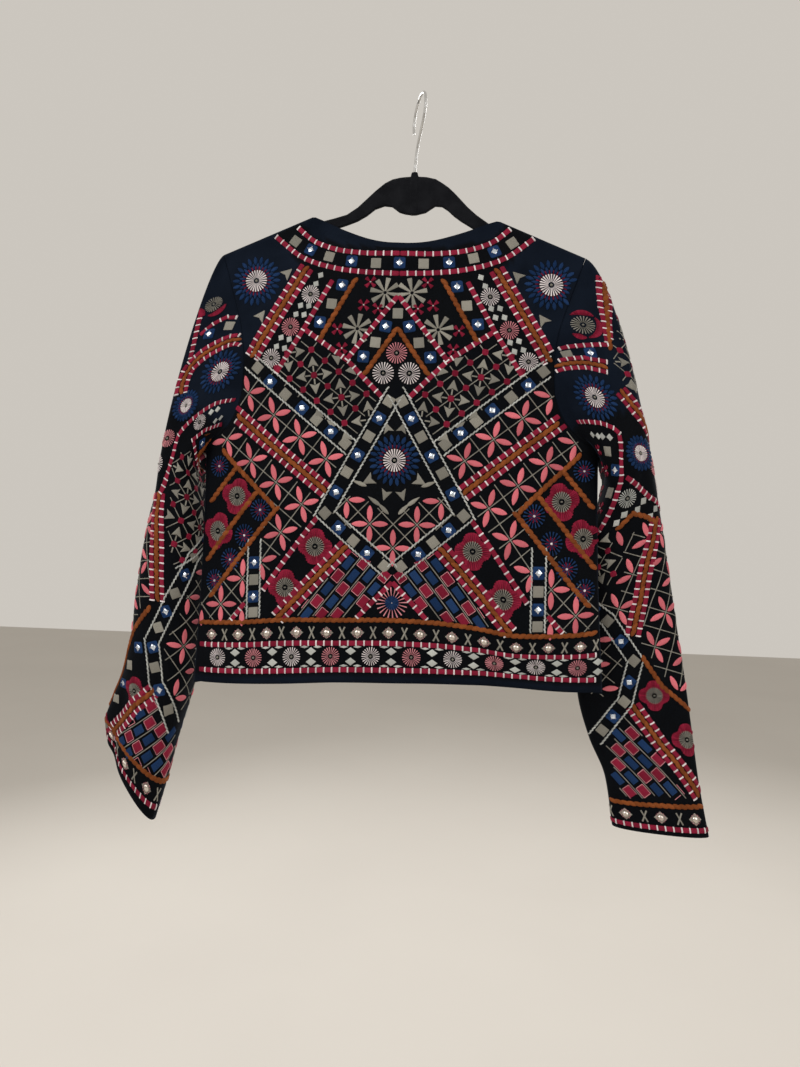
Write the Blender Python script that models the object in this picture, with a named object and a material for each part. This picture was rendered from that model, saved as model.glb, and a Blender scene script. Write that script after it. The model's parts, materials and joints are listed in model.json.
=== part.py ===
"""A cropped velvet jacket, worked all over in mirror embroidery, hung on a slim flocked hanger.

The jacket hangs with its back towards -Y and its open front towards +Y. +X is the wearer's right.
The origin is the inside of the hook's crown, where a rail or a door's top edge carries the weight.
All sizes are in metres.
"""

import math
from typing import NamedTuple

import bpy
import numpy as np

# Cloth
CLOTH_WALL = 0.0018
TURNED_HEM_WALL = 0.0026
TURNED_HEM_DEPTH = 0.022
SEAM_GAP = 0.0004

# Where the jacket sits on the hanger, and how much lower its right shoulder hangs
JACKET_X = -0.021
SHOULDER_TILT = 0.030
TILT_FADE_TOP = -0.20
TILT_FADE_END = -0.46

# Neck and shoulders, measured from the jacket's centre line
NECK_HALF_WIDTH = 0.111
NECK_SHIFT = 0.005
NECK_POINT_Z = -0.1435
BACK_NECK_Z = -0.178
FRONT_NECK_Z = -0.252
BACK_NECK_ROUNDNESS = 2.4
FRONT_NECK_ROUNDNESS = 2.0
SHOULDER_HALF_WIDTH = 0.214
SHOULDER_SLOPE = 0.42
SHOULDER_END_Z = NECK_POINT_Z - SHOULDER_SLOPE * (SHOULDER_HALF_WIDTH - NECK_HALF_WIDTH)
SHOULDER_FOLD_RADIUS = 0.007

# Side seams, hem and front edges
UNDERARM_HALF_WIDTH = 0.2395
UNDERARM_Z = -0.412
UNDERARM_LEAN = 0.25
HEM_Z = -0.684
FRONT_HEM_Z = -0.687
FRONT_EDGE_U = 0.006
FRONT_EDGE_GAP = 0.004

# How strongly the sleeve's cap keeps its direction as it leaves the armhole and joins the tube
RIGHT_CAP_REACH = 0.37
LEFT_CAP_REACH = 0.22
UNDERARM_REACH = 0.80
CAP_HANG = 0.92

# Roundness of the body's cross-section: flat in the middle, rolled at the sides
SECTION_FLATNESS = 2.6
SECTION_ROLL = 1.6
ARM_ROLL_START_Z = -0.300
ARM_ROLL_END_Z = -0.400

# Mesh fineness
FOLD_SHARES = (0.000, 0.002, 0.008, 0.018, 0.030)
ARMHOLE_SHARES = (0.09, 0.17, 0.26, 0.35, 0.45, 0.55, 0.65, 0.74, 0.82, 0.89, 0.94, 0.975, 1.0)
SIDE_SHARES = (0.012, 0.040, 0.090, 0.180, 0.300, 0.440, 0.580, 0.700, 0.800, 0.880, 0.940, 1.0)
NECK_COLUMN_PULL = 0.45
BACK_COLUMNS = 32
FRONT_COLUMNS = 15
CAP_ROWS = 8
SLEEVE_ROWS = 15

# Hanger and hook
HANGER_X = -0.0058
HANGER_EDGE_BEVEL = 0.0014
STUB_TOP_Z = -0.0890
WIRE_RADIUS = 0.00175
WIRE_SIDES = 8
HOOK_RADIUS = 0.0220
HOOK_TURN = math.radians(22)
HOOK_TIP_ANGLE = math.radians(-34)
HOOK_NEAR_ANGLE = math.radians(198)
HOOK_GAP = 0.0004


class Height(NamedTuple):
    """A value that changes down the jacket."""

    z: float
    value: float


class Point(NamedTuple):
    """A point of a cutting line, from the jacket's centre line."""

    u: float
    z: float


class SleeveRow(NamedTuple):
    """One cross-section of a hanging sleeve; cant is how much higher its outer side is."""

    z: float
    outer: float
    inner: float
    middle_y: float
    half_depth: float
    cant: float


class Pleat(NamedTuple):
    """A soft trough down a sleeve: where it runs round the sleeve, and how deep it sinks."""

    turn: float
    top: float
    bottom: float
    width: float
    depth: float


class HemPlace(NamedTuple):
    """A place along the hem: how far the border and the hem droop, and how far the hem tucks in."""

    u: float
    border_droop: float
    hem_droop: float
    tuck: float


class HangerRow(NamedTuple):
    """A station along the hanger, from its own centre: its top and bottom edges and its half thickness."""

    x: float
    top: float
    bottom: float
    half: float


# Half width of the whole jacket seen from behind, sleeves included down to the underarm
SECTION_WIDTH = (
    Height(-0.100, 0.150),
    Height(-0.150, 0.190),
    Height(-0.200, 0.230),
    Height(-0.240, 0.252),
    Height(-0.300, 0.268),
    Height(-0.340, 0.272),
    Height(-0.380, 0.256),
    Height(-0.400, 0.246),
    Height(-0.412, 0.2395),
    Height(-0.416, 0.2358),
    Height(-0.424, 0.2342),
    Height(-0.460, 0.2345),
    Height(-0.540, 0.2370),
    Height(-0.610, 0.2410),
    Height(-0.700, 0.2465),
)

# How far the cloth stands off the hanger's plane, by the drop below the shoulder fold
STAND_OFF = (
    Height(0.000, 0.0000),
    Height(0.030, 0.0070),
    Height(0.080, 0.0180),
    Height(0.160, 0.0270),
    Height(0.260, 0.0310),
    Height(0.400, 0.0300),
    Height(0.560, 0.0270),
)

BACK_ARMHOLE = (
    Point(SHOULDER_HALF_WIDTH, SHOULDER_END_Z),
    Point(0.203, -0.220),
    Point(0.193, -0.250),
    Point(0.184, -0.282),
    Point(0.180, -0.315),
    Point(0.181, -0.345),
    Point(0.188, -0.371),
    Point(0.201, -0.391),
    Point(0.217, -0.405),
    Point(UNDERARM_HALF_WIDTH, UNDERARM_Z),
)

FRONT_ARMHOLE = (
    Point(SHOULDER_HALF_WIDTH, SHOULDER_END_Z),
    Point(0.200, -0.220),
    Point(0.188, -0.250),
    Point(0.178, -0.282),
    Point(0.173, -0.315),
    Point(0.174, -0.345),
    Point(0.183, -0.371),
    Point(0.198, -0.391),
    Point(0.216, -0.405),
    Point(UNDERARM_HALF_WIDTH, UNDERARM_Z),
)

RIGHT_SLEEVE = (
    SleeveRow(-0.452, 0.3010, 0.2410, 0.018, 0.047, 0.012),
    SleeveRow(-0.480, 0.3080, 0.2350, 0.030, 0.044, 0.014),
    SleeveRow(-0.510, 0.3150, 0.2270, 0.040, 0.039, 0.016),
    SleeveRow(-0.550, 0.3225, 0.2190, 0.045, 0.033, 0.018),
    SleeveRow(-0.600, 0.3320, 0.2150, 0.048, 0.026, 0.018),
    SleeveRow(-0.650, 0.3410, 0.2170, 0.050, 0.021, 0.018),
    SleeveRow(-0.700, 0.3500, 0.2230, 0.050, 0.018, 0.016),
    SleeveRow(-0.750, 0.3580, 0.2370, 0.049, 0.016, 0.012),
    SleeveRow(-0.800, 0.3660, 0.2570, 0.047, 0.015, 0.004),
    SleeveRow(-0.864, 0.3800, 0.2670, 0.046, 0.015, -0.006),
)

LEFT_SLEEVE = (
    SleeveRow(-0.452, 0.2935, 0.2430, 0.012, 0.047, 0.012),
    SleeveRow(-0.480, 0.2980, 0.2390, 0.014, 0.048, 0.014),
    SleeveRow(-0.510, 0.3060, 0.2380, 0.016, 0.048, 0.016),
    SleeveRow(-0.550, 0.3150, 0.2400, 0.018, 0.047, 0.018),
    SleeveRow(-0.600, 0.3240, 0.2440, 0.020, 0.045, 0.020),
    SleeveRow(-0.650, 0.3310, 0.2490, 0.022, 0.043, 0.022),
    SleeveRow(-0.700, 0.3400, 0.2580, 0.022, 0.041, 0.030),
    SleeveRow(-0.750, 0.3560, 0.2750, 0.021, 0.034, 0.052),
    SleeveRow(-0.795, 0.3590, 0.2890, 0.020, 0.028, 0.076),
    SleeveRow(-0.833, 0.3550, 0.3030, 0.020, 0.023, 0.096),
)

RIGHT_PLEATS = (
    Pleat(turn=0.36, top=-0.300, bottom=-0.530, width=0.19, depth=0.010),
    Pleat(turn=0.62, top=-0.620, bottom=-0.800, width=0.13, depth=0.004),
    Pleat(turn=1.40, top=-0.420, bottom=-0.640, width=0.16, depth=0.007),
)

LEFT_PLEATS = (
    Pleat(turn=0.42, top=-0.330, bottom=-0.500, width=0.15, depth=0.010),
    Pleat(turn=0.30, top=-0.700, bottom=-0.860, width=0.13, depth=0.007),
    Pleat(turn=1.45, top=-0.440, bottom=-0.620, width=0.16, depth=0.007),
)

BACK_HEM = (
    HemPlace(-0.250, 0.0150, 0.0150, 0.004),
    HemPlace(-0.180, 0.0100, 0.0120, 0.005),
    HemPlace(-0.120, 0.0040, 0.0080, 0.003),
    HemPlace(-0.060, 0.0020, 0.0030, 0.001),
    HemPlace(0.000, 0.0000, 0.0010, 0.000),
    HemPlace(0.050, 0.0010, 0.0000, 0.003),
    HemPlace(0.100, 0.0060, 0.0010, 0.012),
    HemPlace(0.150, 0.0130, 0.0040, 0.022),
    HemPlace(0.205, 0.0120, 0.0060, 0.016),
    HemPlace(0.250, 0.0080, 0.0060, 0.004),
)

FRONT_HEM = (
    HemPlace(-0.250, 0.0120, 0.0150, 0.004),
    HemPlace(-0.110, 0.0050, 0.0060, 0.008),
    HemPlace(0.000, 0.0000, 0.0000, 0.000),
    HemPlace(0.120, 0.0040, 0.0030, 0.007),
    HemPlace(0.250, 0.0080, 0.0060, 0.004),
)

BORDER_Z = -0.611
DROOP_START_Z = -0.440

HANGER = (
    HangerRow(-0.1920, -0.1760, -0.1785, 0.0016),
    HangerRow(-0.1895, -0.1712, -0.1812, 0.0024),
    HangerRow(-0.1820, -0.1662, -0.1800, 0.0026),
    HangerRow(-0.1700, -0.1602, -0.1745, 0.0026),
    HangerRow(-0.1500, -0.1522, -0.1670, 0.0026),
    HangerRow(-0.1300, -0.1475, -0.1605, 0.0026),
    HangerRow(-0.1130, -0.1440, -0.1560, 0.0026),
    HangerRow(-0.0950, -0.1400, -0.1530, 0.0026),
    HangerRow(-0.0800, -0.1360, -0.1485, 0.0026),
    HangerRow(-0.0670, -0.1278, -0.1440, 0.0026),
    HangerRow(-0.0560, -0.1180, -0.1380, 0.0026),
    HangerRow(-0.0460, -0.1090, -0.1305, 0.0026),
    HangerRow(-0.0350, -0.1005, -0.1270, 0.0026),
    HangerRow(-0.0260, -0.0962, -0.1282, 0.0026),
    HangerRow(-0.0170, -0.0945, -0.1350, 0.0026),
    HangerRow(-0.0100, -0.0940, -0.1372, 0.0026),
    HangerRow(-0.0046, -0.0938, -0.1380, 0.0026),
    HangerRow(-0.0036, -0.0900, -0.1381, 0.0032),
    HangerRow(-0.0026, -0.0890, -0.1382, 0.0034),
    HangerRow(0.0026, -0.0890, -0.1382, 0.0034),
    HangerRow(0.0036, -0.0900, -0.1381, 0.0032),
    HangerRow(0.0046, -0.0940, -0.1380, 0.0026),
    HangerRow(0.0140, -0.0948, -0.1360, 0.0026),
    HangerRow(0.0250, -0.0975, -0.1290, 0.0026),
    HangerRow(0.0330, -0.1025, -0.1298, 0.0026),
    HangerRow(0.0400, -0.1075, -0.1345, 0.0026),
    HangerRow(0.0470, -0.1140, -0.1410, 0.0026),
    HangerRow(0.0550, -0.1225, -0.1470, 0.0026),
    HangerRow(0.0630, -0.1312, -0.1520, 0.0026),
    HangerRow(0.0740, -0.1410, -0.1590, 0.0026),
    HangerRow(0.0900, -0.1525, -0.1665, 0.0026),
    HangerRow(0.1010, -0.1560, -0.1705, 0.0026),
    HangerRow(0.1400, -0.1722, -0.1872, 0.0026),
    HangerRow(0.1820, -0.1914, -0.2055, 0.0026),
    HangerRow(0.1895, -0.1968, -0.2065, 0.0024),
    HangerRow(0.1920, -0.2012, -0.2037, 0.0016),
)

HOOK_STEM = (
    Point(-0.0165, -0.0400),
    Point(-0.0090, -0.0500),
    Point(-0.0035, -0.0590),
    Point(-0.0008, -0.0680),
    Point(0.0000, -0.0780),
    Point(0.0000, STUB_TOP_Z + HOOK_GAP),
)

UNDERARM_ROW = len(FOLD_SHARES) + len(ARMHOLE_SHARES) - 1

COLOURS = {
    "velvet": ((0.008, 0.011, 0.020), 0.85, 0.0),
    "flocking": ((0.006, 0.007, 0.010), 0.95, 0.0),
    "wire": ((0.620, 0.620, 0.630), 0.28, 1.0),
}


def clear_scene():
    """Removes whatever the scene already holds."""
    for thing in list(bpy.data.objects):
        bpy.data.objects.remove(thing)


def make_material(name):
    """A plain material of the part's colour, roughness and metallic value."""
    colour, roughness, metallic = COLOURS[name]
    material = bpy.data.materials.get(name) or bpy.data.materials.new(name)
    material.use_nodes = True
    shader = material.node_tree.nodes["Principled BSDF"]
    shader.inputs["Base Color"].default_value = (*colour, 1.0)
    shader.inputs["Roughness"].default_value = roughness
    shader.inputs["Metallic"].default_value = metallic
    return material


def ease(value):
    """0 below 0, 1 above 1, and smooth in between."""
    value = np.clip(value, 0.0, 1.0)
    return value * value * (3.0 - 2.0 * value)


def bell(distance, width):
    """1 at no distance, falling smoothly to nothing at about twice the width."""
    return np.exp(-((distance / width) ** 2))


def gentle_slopes(places, values):
    """Slopes for a curve through points that never swings past them."""
    steps = np.diff(places)
    rises = np.diff(values) / steps
    slopes = np.zeros_like(values)
    before = 2 * steps[1:] + steps[:-1]
    after = steps[1:] + 2 * steps[:-1]
    for i in np.flatnonzero(rises[:-1] * rises[1:] > 0):
        weights = before[i] / rises[i] + after[i] / rises[i + 1]
        slopes[i + 1] = (before[i] + after[i]) / weights
    slopes[0], slopes[-1] = rises[0], rises[-1]
    return slopes


def smooth_through(places, values, at):
    """Values at any places, on a smooth curve through the rows of a table."""
    places = np.asarray(places, float)
    values = np.asarray(values, float)
    if places[0] > places[-1]:
        places, values = places[::-1], values[::-1]
    slopes = gentle_slopes(places, values)
    at = np.clip(np.asarray(at, float), places[0], places[-1])
    row = np.clip(np.searchsorted(places, at) - 1, 0, len(places) - 2)
    step = places[row + 1] - places[row]
    t = (at - places[row]) / step
    start = (1 + 2 * t) * (1 - t) ** 2 * values[row] + t * (1 - t) ** 2 * slopes[row] * step
    end = t * t * (3 - 2 * t) * values[row + 1] + t * t * (t - 1) * slopes[row + 1] * step
    return start + end


def down_table(table, at):
    """The value of a table of heights at any height."""
    return smooth_through([row.z for row in table], [row.value for row in table], at)


def along_line(points, shares):
    """Points at the given shares of a smooth cutting line's length."""
    u = np.array([point.u for point in points])
    z = np.array([point.z for point in points])
    length = np.concatenate([[0.0], np.cumsum(np.hypot(np.diff(u), np.diff(z)))])
    at = np.asarray(shares) * length[-1]
    return np.stack([smooth_through(length, u, at), smooth_through(length, z, at)], axis=-1)


def fold_height(u):
    """Height of the shoulder fold; inside the neck it is the line that the slopes would meet on."""
    return NECK_POINT_Z + SHOULDER_SLOPE * (NECK_HALF_WIDTH - np.abs(u))


def stand_off(u, z):
    """How far the cloth stands off the hanger's plane at a place of the back or front."""
    drop = np.maximum(fold_height(u) - z, 0.0)
    radius = SHOULDER_FOLD_RADIUS
    rolled = np.sqrt(np.maximum(radius**2 - (radius - np.minimum(drop, radius)) ** 2, 0.0))
    falling = down_table(STAND_OFF, drop - radius) * ease(drop / 0.05)
    share = np.minimum(np.abs(u) / down_table(SECTION_WIDTH, z), 1.0)
    side = (1.0 - share**SECTION_FLATNESS) ** (1.0 / SECTION_ROLL)
    over_arm = ease((z - ARM_ROLL_END_Z) / (ARM_ROLL_START_Z - ARM_ROLL_END_Z))
    return rolled * (side + (1.0 - side) * over_arm) + falling * (side + 0.12 * (1.0 - side) * over_arm)


def along_hem(places, column, u):
    """A column of a hem table at any place along the hem."""
    return smooth_through([row.u for row in places], [getattr(row, column) for row in places], u)


def draped(u, z, side):
    """A place of the back (side -1) or front (side 1), hung in space."""
    u = np.asarray(u, float)
    z = np.asarray(z, float)
    places = BACK_HEM if side < 0 else FRONT_HEM
    border, hem, tuck = (along_hem(places, name, u) for name in HemPlace._fields[1:])
    low = ease((DROOP_START_Z - z) / (DROOP_START_Z - BORDER_Z))
    fold = ease((BORDER_Z - z) / (BORDER_Z - HEM_Z))
    drop = border * low + (hem - border) * fold
    share = np.minimum(np.abs(u) / down_table(SECTION_WIDTH, z), 1.0)
    bulge = 0.35 * border * low - tuck * fold
    y = np.maximum(stand_off(u, z) + bulge * (1.0 - share**4), 0.0)
    tilt = SHOULDER_TILT * u * ease((z - TILT_FADE_END) / (TILT_FADE_TOP - TILT_FADE_END))
    return np.stack([JACKET_X + u, side * (y + SEAM_GAP / 2), z - drop - tilt], axis=-1)


def side_line(armhole_points, hand, hem_z):
    """Down the armhole and the side seam: one point for each row of the panel."""
    armhole = along_line(armhole_points, FOLD_SHARES + ARMHOLE_SHARES)
    z = UNDERARM_Z + (hem_z - UNDERARM_Z) * np.array(SIDE_SHARES)
    seam = np.stack([down_table(SECTION_WIDTH, z), z], axis=-1)
    line = np.concatenate([armhole, seam])
    line[:, 0] *= hand
    return line


def filled_between(top, bottom, left, right):
    """A grid of points between four lines that meet at their ends, rows from top to bottom."""
    down = np.concatenate([[0.0], np.cumsum(np.linalg.norm(np.diff(left, axis=0), axis=1))])
    down2 = np.concatenate([[0.0], np.cumsum(np.linalg.norm(np.diff(right, axis=0), axis=1))])
    t = (0.5 * (down / down[-1] + down2 / down2[-1]))[:, None, None]
    across = np.concatenate([[0.0], np.cumsum(np.linalg.norm(np.diff(bottom, axis=0), axis=1))])
    s = (across / across[-1])[None, :, None]
    lines = (1 - t) * top[None] + t * bottom[None] + (1 - s) * left[:, None] + s * right[:, None]
    corners = (
        (1 - t) * (1 - s) * top[0]
        + (1 - t) * s * top[-1]
        + t * (1 - s) * bottom[0]
        + t * s * bottom[-1]
    )
    return lines - corners


def spread_out(columns, even_share):
    """Shares from 0 to 1, closer together at both ends."""
    even = np.linspace(0.0, 1.0, columns + 1)
    return even_share * even + (1.0 - even_share) * 0.5 * (1.0 - np.cos(math.pi * even))


def top_line(u, lowest_z, roundness):
    """The neck edge and the shoulder lines, with a column at each neck point and one close inside."""
    for point in (NECK_SHIFT - NECK_HALF_WIDTH, NECK_SHIFT + NECK_HALF_WIDTH):
        nearest = np.argmin(np.abs(u - point))
        if 0 < nearest < len(u) - 1:
            step = 1 if abs(u[nearest + 1] - NECK_SHIFT) < abs(u[nearest - 1] - NECK_SHIFT) else -1
            u[nearest] = point
            u[nearest + step] += NECK_COLUMN_PULL * (point - u[nearest + step])
    reach = np.abs(u - NECK_SHIFT) / NECK_HALF_WIDTH
    neck = lowest_z + (fold_height(u) - lowest_z) * reach**roundness
    on_shoulder = reach > 1.0 - 1e-6
    return np.stack([u, np.where(on_shoulder, fold_height(u), neck)], axis=-1), on_shoulder


def back_grid():
    """The back's places, rows from the neck and shoulders to the hem, columns from left to right."""
    spread = spread_out(BACK_COLUMNS, 0.40)
    top, on_shoulder = top_line(SHOULDER_HALF_WIDTH * (2.0 * spread - 1.0), BACK_NECK_Z, BACK_NECK_ROUNDNESS)
    left = side_line(BACK_ARMHOLE, -1, HEM_Z)
    right = side_line(BACK_ARMHOLE, 1, HEM_Z)
    hem_u = right[-1, 0] * (2.0 * spread - 1.0)
    bottom = np.stack([hem_u, np.full_like(hem_u, HEM_Z)], axis=-1)
    return filled_between(top, bottom, left, right), on_shoulder


def front_grid(hand):
    """A front's places, rows down and columns from its centre edge to its side seam."""
    edge = FRONT_EDGE_U + hand * FRONT_EDGE_GAP / 2
    spread = np.sin(np.linspace(0.0, math.pi / 2, FRONT_COLUMNS + 1))
    spread = 0.6 * spread + 0.4 * np.linspace(0.0, 1.0, FRONT_COLUMNS + 1)
    top_u = edge + (hand * SHOULDER_HALF_WIDTH - edge) * spread
    top, on_shoulder = top_line(top_u, FRONT_NECK_Z, FRONT_NECK_ROUNDNESS)
    side = side_line(FRONT_ARMHOLE, hand, FRONT_HEM_Z)
    share = (side[:, 1] - side[0, 1]) / (side[-1, 1] - side[0, 1])
    centre_z = top[0, 1] + (FRONT_HEM_Z - top[0, 1]) * share
    centre = np.stack([np.full_like(centre_z, edge), centre_z], axis=-1)
    hem_u = edge + (side[-1, 0] - edge) * spread
    bottom = np.stack([hem_u, np.full_like(hem_u, FRONT_HEM_Z)], axis=-1)
    return filled_between(top, bottom, centre, side), on_shoulder


def normals_of(points, closed=False):
    """Unit normals of a grid of points, from its neighbours along the rows and columns."""
    if closed:
        across = np.roll(points, -1, axis=1) - np.roll(points, 1, axis=1)
    else:
        across = np.gradient(points, axis=1)
    down = np.gradient(points, axis=0)
    normals = np.cross(down, across)
    return normals / np.linalg.norm(normals, axis=-1, keepdims=True)


def level_normals(normals, rows, columns):
    """Turns the normals of a seam that lies in the hanger's plane into that plane."""
    normals[rows, columns, 1] = 0.0
    size = np.linalg.norm(normals[rows, columns], axis=-1, keepdims=True)
    normals[rows, columns] /= size


def level_side(normals, column, hand):
    """Levels the normals down a side seam; at the underarm the cloth folds over and faces down."""
    level_normals(normals, np.arange(UNDERARM_ROW, len(normals)), column)
    normals[UNDERARM_ROW, column] = (hand * UNDERARM_LEAN, 0.0, -math.sqrt(1 - UNDERARM_LEAN**2))


def wall_depth(distance):
    """Thickness of the cloth at a distance from a turned edge."""
    turned = ease((TURNED_HEM_DEPTH - distance) / 0.004 + 0.5)
    return CLOTH_WALL + (TURNED_HEM_WALL - CLOTH_WALL) * turned


def split_squares(points, corners):
    """Splits squares into triangles along the shorter diagonal of their first face."""
    a, b, c, d = corners
    straight = np.linalg.norm(points[a] - points[c]) <= np.linalg.norm(points[b] - points[d])
    return ((0, 1, 2), (0, 2, 3)) if straight else ((0, 1, 3), (1, 2, 3))


def closed_wall(name, outer, inner, ring):
    """Makes a solid wall between an outer and an inner grid; a ring's columns close on themselves."""
    rows, columns = outer.shape[:2]
    points = np.concatenate([outer.reshape(-1, 3), inner.reshape(-1, 3)])
    number = np.arange(rows * columns).reshape(rows, columns)
    shift = rows * columns
    last = columns if ring else columns - 1
    faces = []
    for i in range(rows - 1):
        for j in range(last):
            k = (j + 1) % columns
            corners = (number[i, j], number[i + 1, j], number[i + 1, k], number[i, k])
            for triangle in split_squares(points, corners):
                face = [corners[place] for place in triangle]
                faces.append(face)
                faces.append([place + shift for place in reversed(face)])
    rims = [[number[0, j % columns] for j in range(last + 1)][::-1]]
    rims.append([number[-1, j % columns] for j in range(last + 1)])
    if not ring:
        rims.append(list(number[:, 0]))
        rims.append(list(number[:, -1])[::-1])
    for rim in rims:
        for a, b in zip(rim, rim[1:]):
            corners = (b, a, a + shift, b + shift)
            for triangle in split_squares(points, corners):
                faces.append([corners[place] for place in triangle])
    mesh = bpy.data.meshes.new(name)
    mesh.from_pydata([tuple(point) for point in points], [], faces)
    mesh.validate()
    return mesh


def add_object(name, mesh, material, smooth_angle=50):
    """Puts a mesh into the scene with its material, rounded where its faces meet gently."""
    thing = bpy.data.objects.new(name, mesh)
    thing.data.materials.append(make_material(material))
    mesh.shade_smooth()
    mesh.set_sharp_from_angle(angle=math.radians(smooth_angle))
    bpy.context.scene.collection.objects.link(thing)
    return thing


def panel_surface(places, side):
    """Outer points and normals of the back or a front, from its flat places."""
    outer = draped(places[..., 0], places[..., 1], side)
    normals = normals_of(outer)
    if side * normals[len(places) // 2, places.shape[1] // 2, 1] < 0:
        normals = -normals
    return outer, normals


def panel_wall(name, places, outer, normals, hem_z, facing):
    """Turns a panel's surface into cloth with turned edges at its hem."""
    depth = wall_depth(places[..., 1] - hem_z)[..., None]
    inner = outer - normals * depth
    if facing > 0:
        outer, inner = outer[:, ::-1], inner[:, ::-1]
    return add_object(name, closed_wall(name, outer, inner, ring=False), "velvet")


def make_back():
    """The back panel; gives its armhole edges for the sleeves."""
    places, on_shoulder = back_grid()
    outer, normals = panel_surface(places, -1)
    level_normals(normals, 0, on_shoulder)
    level_side(normals, 0, -1)
    level_side(normals, -1, 1)
    panel_wall("back", places, outer, normals, HEM_Z, -1)
    rows = slice(0, UNDERARM_ROW + 1)
    return {
        -1: (outer[rows, 0], normals[rows, 0], outer[rows, 1]),
        1: (outer[rows, -1], normals[rows, -1], outer[rows, -2]),
    }


def make_front(name, hand):
    """One front panel; gives its armhole edge for the sleeve."""
    places, on_shoulder = front_grid(hand)
    outer, normals = panel_surface(places, 1)
    level_normals(normals, 0, on_shoulder)
    level_side(normals, -1, hand)
    panel_wall(name, places, outer, normals, FRONT_HEM_Z, hand)
    rows = slice(0, UNDERARM_ROW + 1)
    return outer[rows, -1], normals[rows, -1], outer[rows, -2]


def armhole_ring(back_edge, front_edge):
    """The armhole as one ring: shoulder, down the back, underarm, and up the front."""
    ring = []
    for back_part, front_part in zip(back_edge, front_edge):
        top = 0.5 * (back_part[:1] + front_part[:1])
        base = 0.5 * (back_part[-1:] + front_part[-1:])
        ring.append(np.concatenate([top, back_part[1:-1], base, front_part[1:-1][::-1]]))
    points, normals, inside = ring
    normals = normals / np.linalg.norm(normals, axis=-1, keepdims=True)
    along = np.roll(points, -1, axis=0) - np.roll(points, 1, axis=0)
    outward = np.cross(normals, along)
    outward /= np.linalg.norm(outward, axis=-1, keepdims=True)
    wrong = np.einsum("ij,ij->i", outward, points - inside) < 0
    outward[wrong] *= -1
    return points, normals, outward


def sleeve_section(table, pleats, hand, z, turns):
    """Points of a sleeve's cross-section; turns run 0 at its outer side, 0.5 at the back, 1 inside."""
    heights = [row.z for row in table]
    outer, inner, middle, depth, cant = (
        smooth_through(heights, [getattr(row, column) for row in table], z)
        for column in ("outer", "inner", "middle_y", "half_depth", "cant")
    )
    angle = turns * math.pi
    flat = 2.0 / 2.35
    reach = np.sign(np.cos(angle)) * np.abs(np.cos(angle)) ** flat
    swing = np.sign(np.sin(angle)) * np.abs(np.sin(angle)) ** flat
    height = z + 0.5 * cant * reach
    sink = np.zeros_like(turns)
    for pleat in pleats:
        length = pleat.top - pleat.bottom
        run = ease(4.0 * (pleat.top - z) / length) * ease(4.0 * (z - pleat.bottom) / length)
        sink = sink + pleat.depth * run * bell(turns - pleat.turn, pleat.width)
    half_width = 0.5 * (outer - inner)
    pull_u = sink * np.cos(angle)
    pull_y = sink * np.sin(angle)
    u = 0.5 * (outer + inner) + half_width * reach - pull_u
    y = middle - depth * swing + pull_y
    return np.stack([JACKET_X + hand * u, y, height], axis=-1)


def hermite(start, leaving, end, arriving, share):
    """A point of a smooth curve with given ends and directions."""
    a = (1 + 2 * share) * (1 - share) ** 2
    b = share * (1 - share) ** 2
    c = share * share * (3 - 2 * share)
    d = share * share * (share - 1)
    return a * start + b * leaving + c * end + d * arriving


def make_sleeve(name, hand, table, pleats, cap_reach, edges):
    """A sleeve: its cap fans out of the armhole, and its tube hangs to the cuff."""
    points, normals, outward = armhole_ring(*edges)
    turns = np.arange(len(points)) * 2.0 / len(points)
    first_z, last_z = table[0].z, table[-1].z
    heights = np.linspace(first_z, last_z, SLEEVE_ROWS + 1)
    tube = np.array([sleeve_section(table, pleats, hand, z, turns) for z in heights])
    seam = points + outward * SEAM_GAP
    span = np.linalg.norm(tube[0] - seam, axis=-1, keepdims=True)
    below = np.abs(1.0 - turns)[:, None]
    reach = cap_reach + (UNDERARM_REACH - cap_reach) * ease(1.0 - below / 0.35)
    leaving = outward * (reach * span)
    hanging = tube[1] - tube[0]
    arriving = hanging / np.linalg.norm(hanging, axis=-1, keepdims=True) * (CAP_HANG * span)
    shares = np.linspace(0.0, 1.0, CAP_ROWS + 1)[:-1]
    cap = np.array([hermite(seam, leaving, tube[0], arriving, share) for share in shares])
    outer = np.concatenate([cap, tube])
    directions = normals_of(outer, closed=True)
    centre = outer.mean(axis=1, keepdims=True)
    row = CAP_ROWS + SLEEVE_ROWS // 2
    if np.einsum("ij,ij->i", directions[row], outer[row] - centre[row]).sum() < 0:
        directions = -directions
    directions[0] = normals
    run = np.linalg.norm(np.diff(outer[::-1], axis=0), axis=-1)
    to_cuff = np.concatenate([np.zeros((1, len(points))), np.cumsum(run, axis=0)])[::-1]
    inner = outer - directions * wall_depth(to_cuff)[..., None]
    if hand > 0:
        outer, inner = outer[:, ::-1], inner[:, ::-1]
    add_object(name, closed_wall(name, outer, inner, ring=True), "velvet")


def closed_tube(name, rings):
    """Makes a solid along a row of rings, closed at both ends."""
    rows, columns = rings.shape[:2]
    faces = []
    for i in range(rows - 1):
        for j in range(columns):
            k = (j + 1) % columns
            here, below = i * columns, (i + 1) * columns
            faces.append((here + j, here + k, below + k, below + j))
    faces.append(tuple(reversed(range(columns))))
    faces.append(tuple(range((rows - 1) * columns, rows * columns)))
    mesh = bpy.data.meshes.new(name)
    mesh.from_pydata([tuple(point) for point in rings.reshape(-1, 3)], [], faces)
    mesh.validate()
    return mesh


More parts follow.
